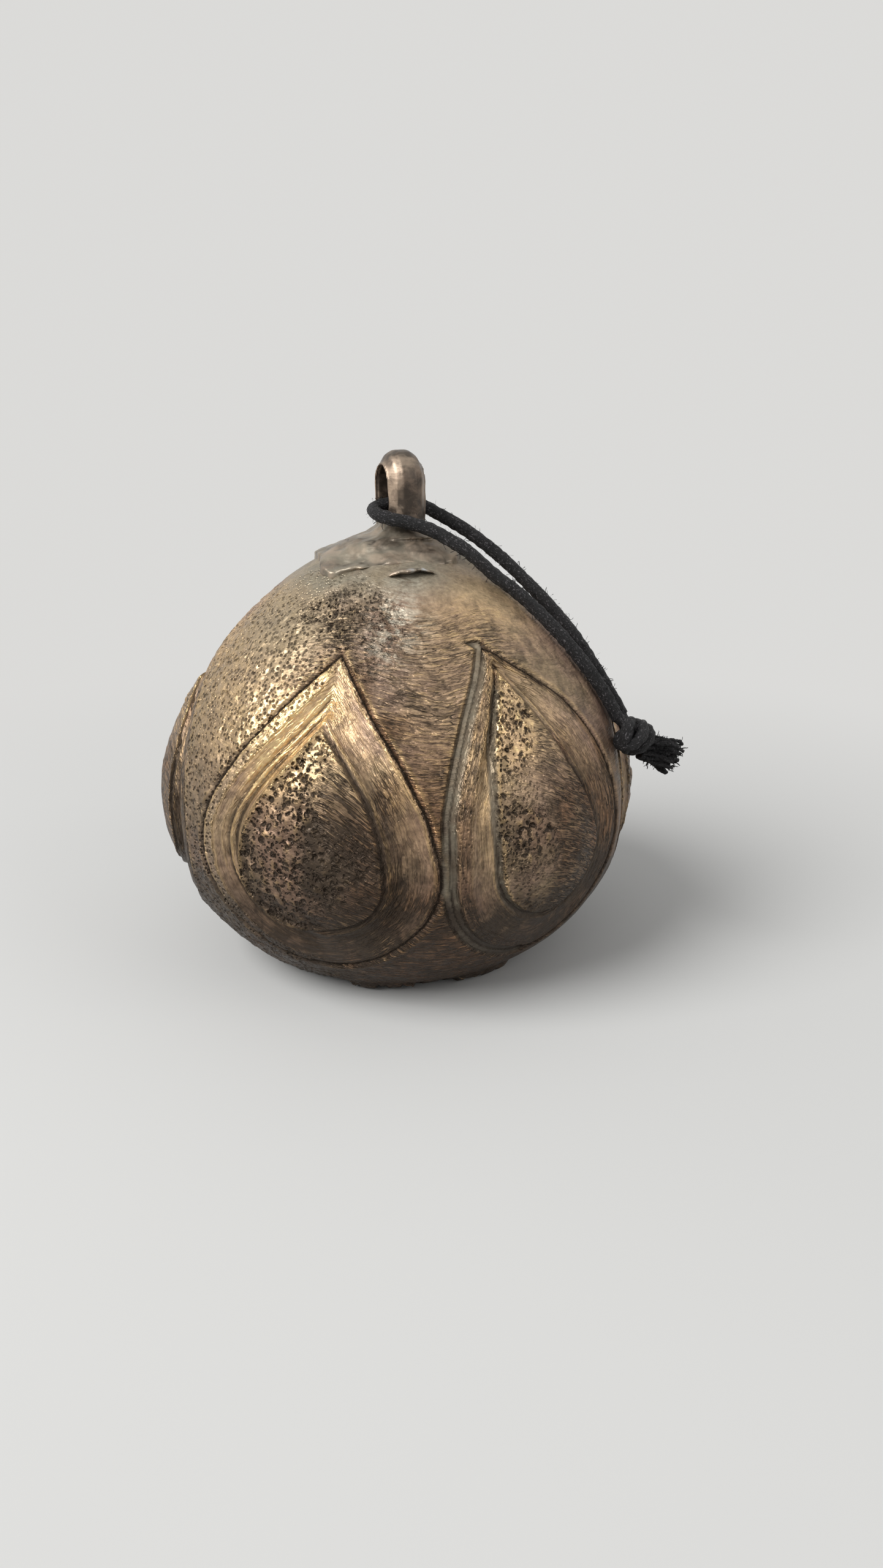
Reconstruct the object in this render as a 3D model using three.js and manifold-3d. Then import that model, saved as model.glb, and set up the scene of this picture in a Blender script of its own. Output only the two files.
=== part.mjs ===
// A hand-cast bronze ritual bell. Its bulbous body carries carved lotus petals, a thick loop stands on a
// raised pad on its crown, an iron clapper hangs inside, and a waxed cotton cord is tied through the loop.
// Millimetres, +Z up. The rim of the mouth lies on z = 0 and the body's axis is x = y = 0.

import * as THREE from "three";
import { mergeVertices } from "three/addons/utils/BufferGeometryUtils.js";
import Module from "manifold-3d";

const wasm = await Module();
wasm.setup();

// Body
const bodyRadius = 56;
const widestHeight = 38.8;
const mouthRadius = 32;
const crownHeight = 97.2;
const shoulderRise = 24;
const crownSpread = 26;
const wallThickness = 3.5;
const crownThickness = 5;
const mouthBoreRadius = 26;

// Lotus petals, each outlined by a scooped channel
const petalCount = 6;
const firstPetalTurn = -20;
const channelHalfTurn = 21.5;
const channelBottom = 17;
const channelWidest = 37;
const channelTip = 72;
const gougeRadius = 8.5;
const gougeDepth = 1.3;

// Loop and the pad that it stands on
const loopTurn = 18;
const loopCentreX = 1.2;
const loopRise = 19;
const loopWidth = 14;
const loopThickness = 8.5;
const loopChamfer = 2.2;
const loopHoleWidth = 7.4;
const loopHoleRise = 5;
const loopHoleHeight = 10;
const loopHoleCorner = 2.4;
const footFlare = 2.4;
const footHeight = 2.6;
const footSink = 0.8;
const footOverhang = 0.7;
const padSide = 31;
const padCorner = 6;
const padRise = 2;
const padTurn = 10;
const padShiftX = -2.3;
const padShiftY = -0.5;

// Iron work inside
const stapleWire = 3;
const stapleInside = 8;
const stapleDrop = 8.5;
const stapleGrip = 3.2;
const linkWire = 2.6;
const linkRadius = 5;
const linkStraight = 2;
const eyeWire = 2.8;
const eyeRadius = 3.6;
const shankTopRadius = 1.9;
const shankRadius = 2.4;
const ballRadius = 11;
const ballHeight = 18;
const rivetRadius = 3.9;
const rivetDome = 1.8;
const rivetSeatMargin = 0.2;
const shankSwellHeight = 4;
const shankNeckHeight = 2;

// Cord
const cordDiameter = 3;
const knotHalfLength = 6.2;
const knotHalfWidth = 4.2;
const knotHalfDepth = 3.7;

// Clearances
const seatGap = 0.3;
const hangGap = 0.3;

// Fineness of the round shapes
const bodySegments = 60;
const lowerSteps = 9;
const upperSteps = 14;
const hollowSegments = 40;
const hollowLowerSteps = 6;
const hollowUpperSteps = 9;
const wireSides = 10;
const cordSides = 8;
const cordSteps = 36;

const radians = THREE.MathUtils.degToRad;

// Solids and back

function solidFrom(geometry) {
  const bare = geometry.clone();
  bare.deleteAttribute("normal");
  bare.deleteAttribute("uv");
  const merged = mergeVertices(bare, 1e-4);
  const mesh = new wasm.Mesh({
    numProp: 3,
    vertProperties: merged.attributes.position.array,
    triVerts: new Uint32Array(merged.index.array),
  });
  return new wasm.Manifold(mesh);
}

function geometryFrom(solid) {
  const mesh = solid.getMesh();
  const geometry = new THREE.BufferGeometry();
  geometry.setAttribute("position", new THREE.BufferAttribute(mesh.vertProperties, 3));
  geometry.setIndex(new THREE.BufferAttribute(mesh.triVerts, 1));
  geometry.computeVertexNormals();
  return geometry;
}

// A closed shape of revolution about Z from [radius, height] points that run upwards on the outside.
function turned(points, segments) {
  const profile = points.map(([radius, height]) => new THREE.Vector2(radius, height));
  return new THREE.LatheGeometry(profile, segments).rotateX(Math.PI / 2);
}

function roundSection(diameter, sides) {
  const corners = [];
  for (let i = 0; i < sides; i++) {
    const turn = (2 * Math.PI * i) / sides;
    corners.push(new THREE.Vector2(Math.cos(turn), Math.sin(turn)).multiplyScalar(diameter / 2));
  }
  return new THREE.Shape(corners);
}

function swept(path, diameter, sides, steps) {
  return new THREE.ExtrudeGeometry(roundSection(diameter, sides), {
    extrudePath: path,
    steps,
    bevelEnabled: false,
  });
}

function roundedRectangle(shape, left, bottom, width, height, corner) {
  const right = left + width;
  const top = bottom + height;
  shape.moveTo(left + corner, bottom);
  shape.lineTo(right - corner, bottom);
  shape.absarc(right - corner, bottom + corner, corner, -Math.PI / 2, 0);
  shape.lineTo(right, top - corner);
  shape.absarc(right - corner, top - corner, corner, 0, Math.PI / 2);
  shape.lineTo(left + corner, top);
  shape.absarc(left + corner, top - corner, corner, Math.PI / 2, Math.PI);
  shape.lineTo(left, bottom + corner);
  shape.absarc(left + corner, bottom + corner, corner, Math.PI, 1.5 * Math.PI);
  return shape;
}

// Outline of the body: below the widest ring an ellipse that runs to the mouth, above it one curve to the
// crown.

function ellipseReach(radius, boreRadius) {
  return widestHeight / Math.sqrt(1 - (boreRadius / radius) ** 2);
}

function shoulder(radius, top) {
  const share = radius / bodyRadius;
  return new THREE.CubicBezierCurve(
    new THREE.Vector2(radius, widestHeight),
    new THREE.Vector2(radius, widestHeight + shoulderRise * share),
    new THREE.Vector2(crownSpread * share, top),
    new THREE.Vector2(0, top),
  );
}

function ellipseRadius(radius, boreRadius, height) {
  const reach = ellipseReach(radius, boreRadius);
  return radius * Math.sqrt(1 - ((widestHeight - height) / reach) ** 2);
}

function bellOutline(radius, boreRadius, top, lowerCount, upperCount) {
  const outline = [];
  for (let i = 0; i < lowerCount; i++) {
    const height = widestHeight * Math.sin((Math.PI / 2) * (i / lowerCount));
    outline.push([ellipseRadius(radius, boreRadius, height), height]);
  }
  for (const point of shoulder(radius, top).getPoints(upperCount)) {
    outline.push([point.x, point.y]);
  }
  return outline;
}

// The crown's own surface, moved out by a distance, as a solid cap that reaches down to the widest ring.
function crownCap(distance) {
  const curve = shoulder(bodyRadius, crownHeight);
  const points = [[0, widestHeight]];
  for (let i = 0; i <= upperSteps; i++) {
    const point = curve.getPoint(i / upperSteps);
    const tangent = curve.getTangent(i / upperSteps);
    points.push([Math.max(0, point.x + tangent.y * distance), point.y - tangent.x * distance]);
  }
  points[points.length - 1][0] = 0;
  return solidFrom(turned(points, bodySegments));
}

// A point of the body's outside at a turn (0 faces -Y, growing towards +X) and a height, lifted along its
// normal.
function surfacePoint(turn, height, lift) {
  let radius = 0;
  let slope = 0;
  if (height < widestHeight) {
    const reach = ellipseReach(bodyRadius, mouthRadius);
    radius = ellipseRadius(bodyRadius, mouthRadius, height);
    slope = (bodyRadius ** 2 * (widestHeight - height)) / (radius * reach ** 2);
  } else {
    const curve = shoulder(bodyRadius, crownHeight);
    let low = 0;
    let high = 1;
    for (let i = 0; i < 30; i++) {
      const middle = (low + high) / 2;
      if (curve.getPoint(middle).y < height) low = middle;
      else high = middle;
    }
    const tangent = curve.getTangent(low);
    radius = curve.getPoint(low).x;
    slope = tangent.x / tangent.y;
  }
  const normal = new THREE.Vector2(1, -slope).normalize();
  const out = radius + normal.x * lift;
  return new THREE.Vector3(out * Math.sin(turn), -out * Math.cos(turn), height + normal.y * lift);
}

// The middle line of one side of a petal's channel, from its rounded foot to its pointed tip.
class ChannelLine extends THREE.Curve {
  constructor(centreTurn, side) {
    super();
    this.centreTurn = centreTurn;
    this.side = side;
  }

  getPoint(share, target = new THREE.Vector3()) {
    const footShare = 0.4;
    const overrun = 0.04;
    let turn = 0;
    let height = 0;
    if (share < footShare) {
      const quarter = (Math.PI / 2) * (1 + overrun - ((1 + overrun) * share) / footShare);
      turn = channelHalfTurn * Math.cos(quarter);
      height = channelWidest - (channelWidest - channelBottom) * Math.sin(quarter);
    } else {
      const climb = ((1 + overrun) * (share - footShare)) / (1 - footShare);
      turn = channelHalfTurn * (1 - climb ** 2);
      height = channelWidest + (channelTip - channelWidest) * climb;
    }
    const lift = gougeRadius - gougeDepth;
    return target.copy(surfacePoint(radians(this.centreTurn + this.side * turn), height, lift));
  }
}

function petalChannels() {
  const gougeSides = 20;
  const gougeSteps = 11;
  const cuts = [];
  for (let i = 0; i < petalCount; i++) {
    const centreTurn = firstPetalTurn + (360 / petalCount) * i;
    for (const side of [-1, 1]) {
      const line = new ChannelLine(centreTurn, side);
      cuts.push(solidFrom(swept(line, 2 * gougeRadius, gougeSides, gougeSteps)));
    }
  }
  return cuts;
}

function bellShell() {
  const outside = [[0, 0], ...bellOutline(bodyRadius, mouthRadius, crownHeight, lowerSteps, upperSteps)];
  const hollowTop = crownHeight - crownThickness;
  const hollowRadius = bodyRadius - wallThickness;
  const below = -2;
  const inside = [
    [0, below],
    [mouthBoreRadius, below],
    ...bellOutline(hollowRadius, mouthBoreRadius, hollowTop, hollowLowerSteps, hollowUpperSteps),
  ];
  let shell = solidFrom(turned(outside, bodySegments));
  for (const cut of petalChannels()) {
    shell = shell.subtract(cut);
  }
  shell = shell.subtract(solidFrom(turned(inside, hollowSegments)));
  for (const side of [-1, 1]) {
    const socket = new THREE.CylinderGeometry(
      stapleWire / 2 + seatGap,
      stapleWire / 2 + seatGap,
      2 * (stapleGrip + seatGap),
      16,
    );
    socket.rotateX(Math.PI / 2);
    socket.translate((side * (stapleInside + stapleWire)) / 2, 0, hollowTop);
    shell = shell.subtract(solidFrom(socket));
  }
  return geometryFrom(shell);
}

// Turns a shape drawn in the loop's own plane upright and sets it on the crown.
function onCrown(geometry) {
  return geometry.rotateX(Math.PI / 2).rotateZ(radians(loopTurn - 90)).translate(loopCentreX, 0, 0);
}

// The loop's arch, pulled through its thickness with wide chamfers along its outer edges.
function loopArch() {
  const halfWidth = loopWidth / 2 - loopChamfer;
  const rootHeight = crownHeight + loopChamfer;
  const archCentre = crownHeight + loopRise - loopWidth / 2;
  const arch = new THREE.Shape();
  arch.moveTo(-halfWidth, rootHeight);
  arch.lineTo(halfWidth, rootHeight);
  arch.lineTo(halfWidth, archCentre);
  arch.absarc(0, archCentre, halfWidth, 0, Math.PI);
  arch.lineTo(-halfWidth, rootHeight);
  const geometry = new THREE.ExtrudeGeometry(arch, {
    depth: loopThickness - 2 * loopChamfer,
    curveSegments: 10,
    bevelSegments: 1,
    bevelThickness: loopChamfer,
    bevelSize: loopChamfer,
  });
  return onCrown(geometry.translate(0, 0, loopChamfer - loopThickness / 2));
}

function loopHole() {
  const hole = roundedRectangle(
    new THREE.Shape(),
    -loopHoleWidth / 2,
    crownHeight + loopHoleRise,
    loopHoleWidth,
    loopHoleHeight,
    loopHoleCorner,
  );
  const depth = 2 * loopThickness;
  const geometry = new THREE.ExtrudeGeometry(hole, { depth, bevelEnabled: false, curveSegments: 6 });
  return onCrown(geometry.translate(0, 0, -depth / 2));
}

// A low oval flare between the arch and the pad, sunk a little into the pad.
function loopFoot() {
  const foot = new THREE.CylinderGeometry(loopWidth / 2, loopWidth / 2 + footFlare, footHeight, 24);
  foot.scale(1, 1, (loopThickness + 2 * footOverhang) / loopWidth);
  return onCrown(foot.translate(0, crownHeight + padRise + footHeight / 2 - footSink, 0));
}

function crownLoop() {
  const pad = roundedRectangle(
    new THREE.Shape(),
    -padSide / 2,
    -padSide / 2,
    padSide,
    padSide,
    padCorner,
  );
  const padBlock = new THREE.ExtrudeGeometry(pad, {
    depth: crownHeight,
    bevelEnabled: false,
    curveSegments: 5,
  });
  padBlock.rotateZ(radians(padTurn));
  padBlock.translate(padShiftX, padShiftY, (widestHeight + crownHeight) / 2);
  const loop = solidFrom(padBlock)
    .intersect(crownCap(padRise))
    .add(solidFrom(loopFoot()))
    .add(solidFrom(loopArch()))
    .subtract(solidFrom(loopHole()))
    .subtract(crownCap(seatGap));
  return geometryFrom(loop);
}

// Heights of the hanging iron work, each worked out from the piece above it
const stapleTop = crownHeight - crownThickness + stapleGrip;
const stapleBar = crownHeight - crownThickness - stapleDrop;
const linkTop = stapleBar + (stapleWire + linkWire) / 2 + hangGap;
const linkBottom = linkTop - 2 * linkRadius - linkStraight;
const eyeTop = linkBottom + (linkWire + eyeWire) / 2 + hangGap;
const eyeCentre = eyeTop - eyeRadius;
const ballFlat = Math.sqrt(ballRadius ** 2 - (rivetRadius + rivetSeatMargin) ** 2);

// An upright U whose round bend carries the link.
function clapperStaple() {
  const bend = (stapleInside + stapleWire) / 2;
  const points = [new THREE.Vector3(-bend, 0, stapleTop)];
  const bendCentre = stapleBar + bend;
  const arcSteps = 8;
  for (let i = 0; i <= arcSteps; i++) {
    const turn = Math.PI + (Math.PI * i) / arcSteps;
    points.push(new THREE.Vector3(bend * Math.cos(turn), 0, bendCentre + bend * Math.sin(turn)));
  }
  points.push(new THREE.Vector3(bend, 0, stapleTop));
  return swept(new THREE.CatmullRomCurve3(points), stapleWire, wireSides, 24);
}

// A long link: a torus whose upper and lower halves are drawn apart.
function clapperLink() {
  const tubular = 22;
  const sideShare = 3;
  const ring = new THREE.TorusGeometry(linkRadius, linkWire / 2, wireSides, tubular);
  ring.rotateZ(Math.PI / tubular);
  ring.rotateX(Math.PI / 2);
  ring.rotateZ(Math.PI / 2);
  const position = ring.attributes.position;
  for (let i = 0; i < position.count; i++) {
    const height = position.getZ(i);
    const along = Math.hypot(position.getY(i), height);
    const stretch = (linkStraight / 2) * THREE.MathUtils.clamp((sideShare * height) / along, -1, 1);
    position.setZ(i, height + stretch);
  }
  ring.translate(0, 0, (linkTop + linkBottom) / 2);
  return ring;
}

// A forged rod with an eye at its top, a swelling towards the ball and a peened head below it.
function clapperShank() {
  const headTop = ballHeight - ballFlat - seatGap;
  const neckTop = eyeCentre - eyeRadius;
  const rod = turned(
    [
      [0, headTop - rivetDome],
      [0.6 * rivetRadius, headTop - 0.8 * rivetDome],
      [rivetRadius, headTop - 0.3 * rivetDome],
      [rivetRadius, headTop],
      [shankRadius, headTop],
      [shankRadius, ballHeight + ballRadius + shankSwellHeight],
      [shankTopRadius, neckTop - shankNeckHeight],
      [0.8 * shankTopRadius, neckTop],
      [0, neckTop],
    ],
    16,
  );
  const eye = new THREE.TorusGeometry(eyeRadius, eyeWire / 2, wireSides, 20);
  eye.rotateX(Math.PI / 2);
  eye.translate(0, 0, eyeCentre);
  return geometryFrom(solidFrom(rod).add(solidFrom(eye)));
}

function clapperBall() {
  const bore = shankRadius + seatGap;
  const flatTurn = Math.asin(ballFlat / ballRadius);
  const arcSteps = 12;
  const points = [[bore, -ballFlat]];
  for (let i = 0; i <= arcSteps; i++) {
    const turn = flatTurn * ((2 * i) / arcSteps - 1);
    points.push([ballRadius * Math.cos(turn), ballRadius * Math.sin(turn)]);
  }
  points.push([bore, ballFlat]);
  points.push([bore, -ballFlat]);
  return turned(points, 32).translate(0, 0, ballHeight);
}

// Cord: from the knot over the front of the shoulder, round the loop's near limb, through its hole and back.
const cordRoute = [
  [50.2, -16.2, 58.9],
  [47.1, -15.9, 64.3],
  [43.7, -15.8, 69.3],
  [38.8, -15.4, 75.4],
  [33.6, -14.4, 80.8],
  [28.2, -13.3, 85.8],
  [22.2, -12.6, 90.3],
  [16.5, -12.1, 95.2],
  [11.5, -10.7, 98.2],
  [7.5, -9.5, 100.0],
  [3.5, -9.2, 101.2],
  [-0.6, -9.1, 102.1],
  [-3.8, -7.0, 103.0],
  [-4.5, -3.4, 103.8],
  [-2.1, -0.1, 104.4],
  [1.8, 1.5, 104.4],
  [5.8, 2.4, 104.1],
  [10.8, 2.5, 101.6],
  [15.4, 2.3, 99.0],
  [19.8, 1.9, 96.0],
  [24.8, 1.2, 92.0],
  [30.2, -0.6, 87.1],
  [35.3, -3.2, 82.1],
  [40.9, -7.3, 75.7],
  [45.3, -9.8, 69.3],
  [49.0, -11.0, 63.4],
  [51.7, -11.7, 58.7],
];
const knotCentre = [54.3, -17.2, 55.2];
const knotAxis = [0.62, 0.6, -0.5];
const tailRoutes = {
  cord_tail_upper: [
    [59.0, -13.6, 52.9],
    [62.4, -12.6, 52.6],
    [65.6, -12.0, 51.6],
  ],
  cord_tail_lower: [
    [57.5, -14.5, 49.9],
    [61.4, -12.9, 48.0],
    [65.4, -12.0, 45.6],
  ],
};

function routeCurve(route) {
  return new THREE.CatmullRomCurve3(route.map((point) => new THREE.Vector3(...point)));
}

function cordLoop() {
  return swept(routeCurve(cordRoute), cordDiameter, cordSides, cordSteps);
}

function cordTail(route) {
  return swept(routeCurve(route), cordDiameter, cordSides, 3);
}

// The knot's outer shape: an egg along the knot's axis, flattened against the body.
function cordKnot() {
  const centre = new THREE.Vector3(...knotCentre);
  const axis = new THREE.Vector3(...knotAxis).normalize();
  const outward = new THREE.Vector3(centre.x, centre.y, 0).normalize();
  const across = new THREE.Vector3().crossVectors(outward, axis).normalize();
  const depth = new THREE.Vector3().crossVectors(axis, across);
  const knot = new THREE.SphereGeometry(1, 16, 10);
  knot.scale(knotHalfLength, knotHalfWidth, knotHalfDepth);
  knot.applyMatrix4(new THREE.Matrix4().makeBasis(axis, across, depth));
  return knot.translate(centre.x, centre.y, centre.z);
}

// Finishes

const bronze = { color: 0x8f7a55, roughness: 0.48, metalness: 0.85 };
const agedBronze = { color: 0x7d705b, roughness: 0.5, metalness: 0.8 };
const iron = { color: 0x3b3733, roughness: 0.62, metalness: 0.8 };
const waxedCotton = { color: 0x1b1a1d, roughness: 0.8, metalness: 0 };

const bell = new THREE.Group();

function addPiece(name, geometry, finish) {
  const mesh = new THREE.Mesh(geometry, new THREE.MeshStandardMaterial(finish));
  mesh.name = name;
  bell.add(mesh);
}

addPiece("bell_shell", bellShell(), bronze);
addPiece("crown_loop", crownLoop(), agedBronze);
addPiece("clapper_staple", clapperStaple(), iron);
addPiece("clapper_link", clapperLink(), iron);
addPiece("clapper_shank", clapperShank(), iron);
addPiece("clapper_ball", clapperBall(), iron);
addPiece("cord_loop", cordLoop(), waxedCotton);
addPiece("cord_knot", cordKnot(), waxedCotton);
for (const [name, route] of Object.entries(tailRoutes)) {
  addPiece(name, cordTail(route), waxedCotton);
}

export default bell;
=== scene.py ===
"""A hand-cast bronze ritual bell with carved lotus petals, an iron clapper and a black waxed cord."""

import math
from collections import namedtuple

import bpy
import numpy as np
from bpy.props import FloatProperty, FloatVectorProperty, IntProperty, PointerProperty
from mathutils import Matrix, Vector


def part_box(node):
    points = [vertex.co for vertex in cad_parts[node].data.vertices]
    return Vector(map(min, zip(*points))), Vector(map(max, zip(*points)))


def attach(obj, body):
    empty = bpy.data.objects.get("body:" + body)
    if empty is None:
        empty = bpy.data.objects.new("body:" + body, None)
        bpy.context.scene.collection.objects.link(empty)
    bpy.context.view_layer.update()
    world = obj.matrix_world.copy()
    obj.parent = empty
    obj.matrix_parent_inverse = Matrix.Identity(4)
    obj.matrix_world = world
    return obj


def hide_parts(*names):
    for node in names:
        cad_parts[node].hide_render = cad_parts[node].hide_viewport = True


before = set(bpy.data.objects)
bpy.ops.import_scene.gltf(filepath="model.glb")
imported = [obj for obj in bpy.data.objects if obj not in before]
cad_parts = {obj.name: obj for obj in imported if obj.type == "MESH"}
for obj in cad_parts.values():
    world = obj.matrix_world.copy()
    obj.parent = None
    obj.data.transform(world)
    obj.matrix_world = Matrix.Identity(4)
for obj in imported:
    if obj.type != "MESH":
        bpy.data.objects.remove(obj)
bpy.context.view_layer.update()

bl_info = {
    "name": "Ritual Bell",
    "version": (1, 0, 0),
    "blender": (4, 5, 0),
    "location": "View3D > Sidebar > Bell",
    "description": "Dresses a cast bronze bell: body, loop, clapper, cord and stage",
    "category": "Object",
}

SHELL_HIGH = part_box("bell_shell")[1]
LOOP_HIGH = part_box("crown_loop")[1]
BALL_LOW, BALL_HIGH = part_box("clapper_ball")
LINK_LOW, LINK_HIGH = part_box("clapper_link")
STAPLE_LOW, STAPLE_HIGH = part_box("clapper_staple")
SHANK_LOW, SHANK_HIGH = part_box("clapper_shank")

MM = 0.001
PER_DEGREE = math.pi / 180


# Sizes and colours that a user would change

def length(name, default, description):
    return FloatProperty(name=name, default=default, min=0, unit="LENGTH", description=description)


def angle(name, degrees, description):
    return FloatProperty(name=name, default=math.radians(degrees), subtype="ANGLE", description=description)


def amount(name, default, description, least=0):
    return FloatProperty(name=name, default=default, min=least, description=description)


def colour(name, default, description):
    return FloatVectorProperty(
        name=name, default=default, size=3, min=0, max=1, subtype="COLOR", description=description
    )


class BodySizes(bpy.types.PropertyGroup):
    radius: length("Radius", SHELL_HIGH.x, "Half of the body's greatest width")
    widest_height: length("Widest height", 0.0388, "Height of the body's widest ring above its rim")
    mouth_radius: length("Mouth radius", 0.032, "Outer radius of the rim")
    crown_height: length("Crown height", SHELL_HIGH.z, "Height of the crown above the rim")
    shoulder_rise: length("Shoulder rise", 0.024, "How far the side keeps upright above the widest ring")
    crown_spread: length("Crown spread", 0.026, "How far the crown stays level from its middle")
    bore_radius: length("Mouth bore radius", 0.026, "Inner radius of the rim")
    wall: length("Wall", 0.0035, "Thickness of the body's side")
    crown_wall: length("Crown wall", 0.005, "Thickness of the crown")
    chips: length("Rim chips", 0.0016, "Depth of the breaks along the cast rim")


class LoopSizes(bpy.types.PropertyGroup):
    turn: angle("Turn", 22, "Turn of the loop on the crown")
    centre: length("Centre", 0.0012, "How far the loop stands from the body's axis")
    width: length("Width", 0.014, "Outer width of the loop")
    thickness: length("Thickness", 0.0091, "Thickness of the loop through its opening")
    opening: length("Opening", 0.0074, "Width of the loop's opening")
    opening_bottom: length("Opening bottom", 0.1022, "Height of the opening's lower edge")
    pad_side: length("Pad side", 0.031, "Side of the squarish pad under the loop")
    pad_turn: angle("Pad turn", 10, "Turn of the pad")
    pad_rise: length("Pad rise", 0.002, "How far the pad stands above the crown")


class ClapperSizes(bpy.types.PropertyGroup):
    wire: length("Staple wire", 0.003, "Thickness of the staple's wire")
    link_wire: length("Link wire", 0.0026, "Thickness of the link's wire")
    eye_wire: length("Eye wire", 0.0028, "Thickness of the eye at the top of the shank")
    shank_radius: length("Shank radius", 0.0024, "Radius of the forged rod")


class CordSizes(bpy.types.PropertyGroup):
    diameter: length("Diameter", 0.003, "Thickness of the twisted cord")
    lay: length("Lay", 0.0075, "Length in which a yarn winds once round the cord")
    yarns: IntProperty(name="Yarns", default=3, min=2, max=6, description="Yarns twisted into the cord")


class Finish(bpy.types.PropertyGroup):
    brown: colour("Brown patina", (0.3, 0.21, 0.145), "The bronze's common brown")
    # This colour also paints highlights: the upper left of the body and the loop's facets that face the key
    # lamp take it.
    gold: colour("Rubbed bronze", (0.75, 0.525, 0.275), "Bronze rubbed bright on the petals' edges")
    # This colour also paints shade: towards the body's foot, on the petals' right sides, on the loop's front
    # facet, in its opening and under the lifted lip.
    dark: colour("Dark patina", (0.04, 0.029, 0.021), "Dirt and oxide in the hollows")
    grey: colour("Grey crown", (0.235, 0.215, 0.165), "Grey-green film on the crown")
    chalk: colour("Pale deposit", (0.5, 0.46, 0.37), "Dry pale patch under the pad")
    solder: colour("Solder", (0.5, 0.52, 0.53), "Solder under the pad's lip")
    iron: colour("Iron", (0.06, 0.052, 0.047), "Dark forged iron")
    rust: colour("Rust", (0.16, 0.065, 0.028), "Rust on the iron")
    cotton: colour("Waxed cotton", (0.0055, 0.005, 0.0055), "Black waxed cotton")
    # Pale flecks on the cord: partly dust on the fibre tops, partly painted highlights.
    fray: colour("Cotton highlight", (0.15, 0.14, 0.145), "Dusty tops of the cotton's fibres")
    backdrop: colour("Backdrop", (0.71, 0.705, 0.69), "Pale studio backdrop")
    floor: colour("Floor", (0.52, 0.52, 0.51), "Pale floor under the bell")


class StageSettings(bpy.types.PropertyGroup):
    camera_at: FloatVectorProperty(
        name="Camera", default=(0.0105, -0.2545, 0.124), size=3, subtype="TRANSLATION",
        description="Place of the camera",
    )
    pitch: angle("Pitch", 18.7, "How far the camera looks down")
    lens: amount("Lens", 25.17, "Focal length on a 36 mm frame, in millimetres", 1)
    sky: amount("Sky", 0.52, "Strength of the soft light from all round")
    key: amount("Key light", 25, "Power of the large lamp at the upper left, in watts")
    fill: amount("Fill light", 2.5, "Power of the lamp at the right, in watts")


# Random heights that are the same on each run

# Odd factors that scatter the numbers of neighbouring cells
CELL_FACTORS = (73856093, 19349663, 83492791)
SEED_FACTOR, DRAW_FACTOR, DRAW_OFFSET, MIX_FACTOR = 7919, 1664525, 1013904223, 2246822519


def strewn(cells, seed, columns=3):
    """Even random numbers from 0 to 1 for each whole-number cell."""
    state = np.full(len(cells), seed * SEED_FACTOR + 17, dtype=np.uint32)
    for axis, factor in enumerate(CELL_FACTORS):
        state ^= cells[:, axis].astype(np.int64).astype(np.uint32) * np.uint32(factor)
    numbers = []
    for _ in range(columns):
        state = state * np.uint32(DRAW_FACTOR) + np.uint32(DRAW_OFFSET)
        state ^= state >> np.uint32(15)
        state = state * np.uint32(MIX_FACTOR)
        state ^= state >> np.uint32(13)
        numbers.append(state / 2.0**32)
    return np.stack(numbers, axis=1)


def waves(points, size, seed=0):
    """Smooth random heights from -1 to 1, with bumps of about the given size."""
    scaled = points / size
    base = np.floor(scaled)
    part = scaled - base
    part = part * part * part * (part * (part * 6 - 15) + 10)
    total = np.zeros(len(points))
    for corner in np.ndindex(2, 2, 2):
        weight = np.prod(np.where(corner, part, 1 - part), axis=1)
        total += weight * strewn(base + np.array(corner), seed, 1)[:, 0]
    return 2 * total - 1


def rough(points, size, octaves, seed=0):
    """Waves of halving size and height, added up."""
    return sum(waves(points, size / 2**i, seed + i) / 2**i for i in range(octaves))


def cell_distance(points, size, seed, wanted):
    """Distances in cells to the nearest two of points strewn one per cell, where they are wanted."""
    first, second = np.ones(len(points)), np.full(len(points), 1.5)
    chosen = np.flatnonzero(wanted)
    scaled = points[chosen] / size
    base = np.floor(scaled)
    near, next_near = np.full(len(chosen), 9.0), np.full(len(chosen), 9.0)
    for step in np.ndindex(3, 3, 3):
        cell = base + np.array(step) - 1
        distance = np.linalg.norm(scaled - cell - strewn(cell, seed), axis=1)
        next_near = np.minimum(next_near, np.maximum(near, distance))
        near = np.minimum(near, distance)
    first[chosen], second[chosen] = near, next_near
    return first, second


def smooth(value, low, high):
    """0 at low and below, 1 at high and above, and an eased step between them."""
    share = np.clip((value - low) / (high - low), 0, 1)
    return share * share * (3 - 2 * share)


# Lines and directions

def unit(vector):
    return vector / np.linalg.norm(vector)


def ways_along(points):
    """Distance of each point along the line through all of them."""
    return np.concatenate([[0], np.cumsum(np.linalg.norm(np.diff(points, axis=0), axis=1))])


def read_off(wanted, way, rows):
    """The columns of the rows, read off at the wanted distances."""
    return np.stack([np.interp(wanted, way, column) for column in rows.T], axis=1)


# Mesh helpers

def deselect():
    if bpy.context.object and bpy.context.object.mode != "OBJECT":
        bpy.ops.object.mode_set(mode="OBJECT")
    bpy.ops.object.select_all(action="DESELECT")


def only(piece):
    deselect()
    piece.select_set(True)
    bpy.context.view_layer.objects.active = piece


def mesh_piece(name, vertices, edges=(), faces=()):
    data = bpy.data.meshes.new(name)
    data.from_pydata([tuple(v) for v in vertices], list(edges), list(faces))
    piece = bpy.data.objects.new(name, data)
    bpy.context.scene.collection.objects.link(piece)
    only(piece)
    return piece


def vertex_vectors(piece, field):
    flat = np.empty(len(piece.data.vertices) * 3)
    piece.data.vertices.foreach_get(field, flat)
    return flat.reshape(-1, 3)


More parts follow.
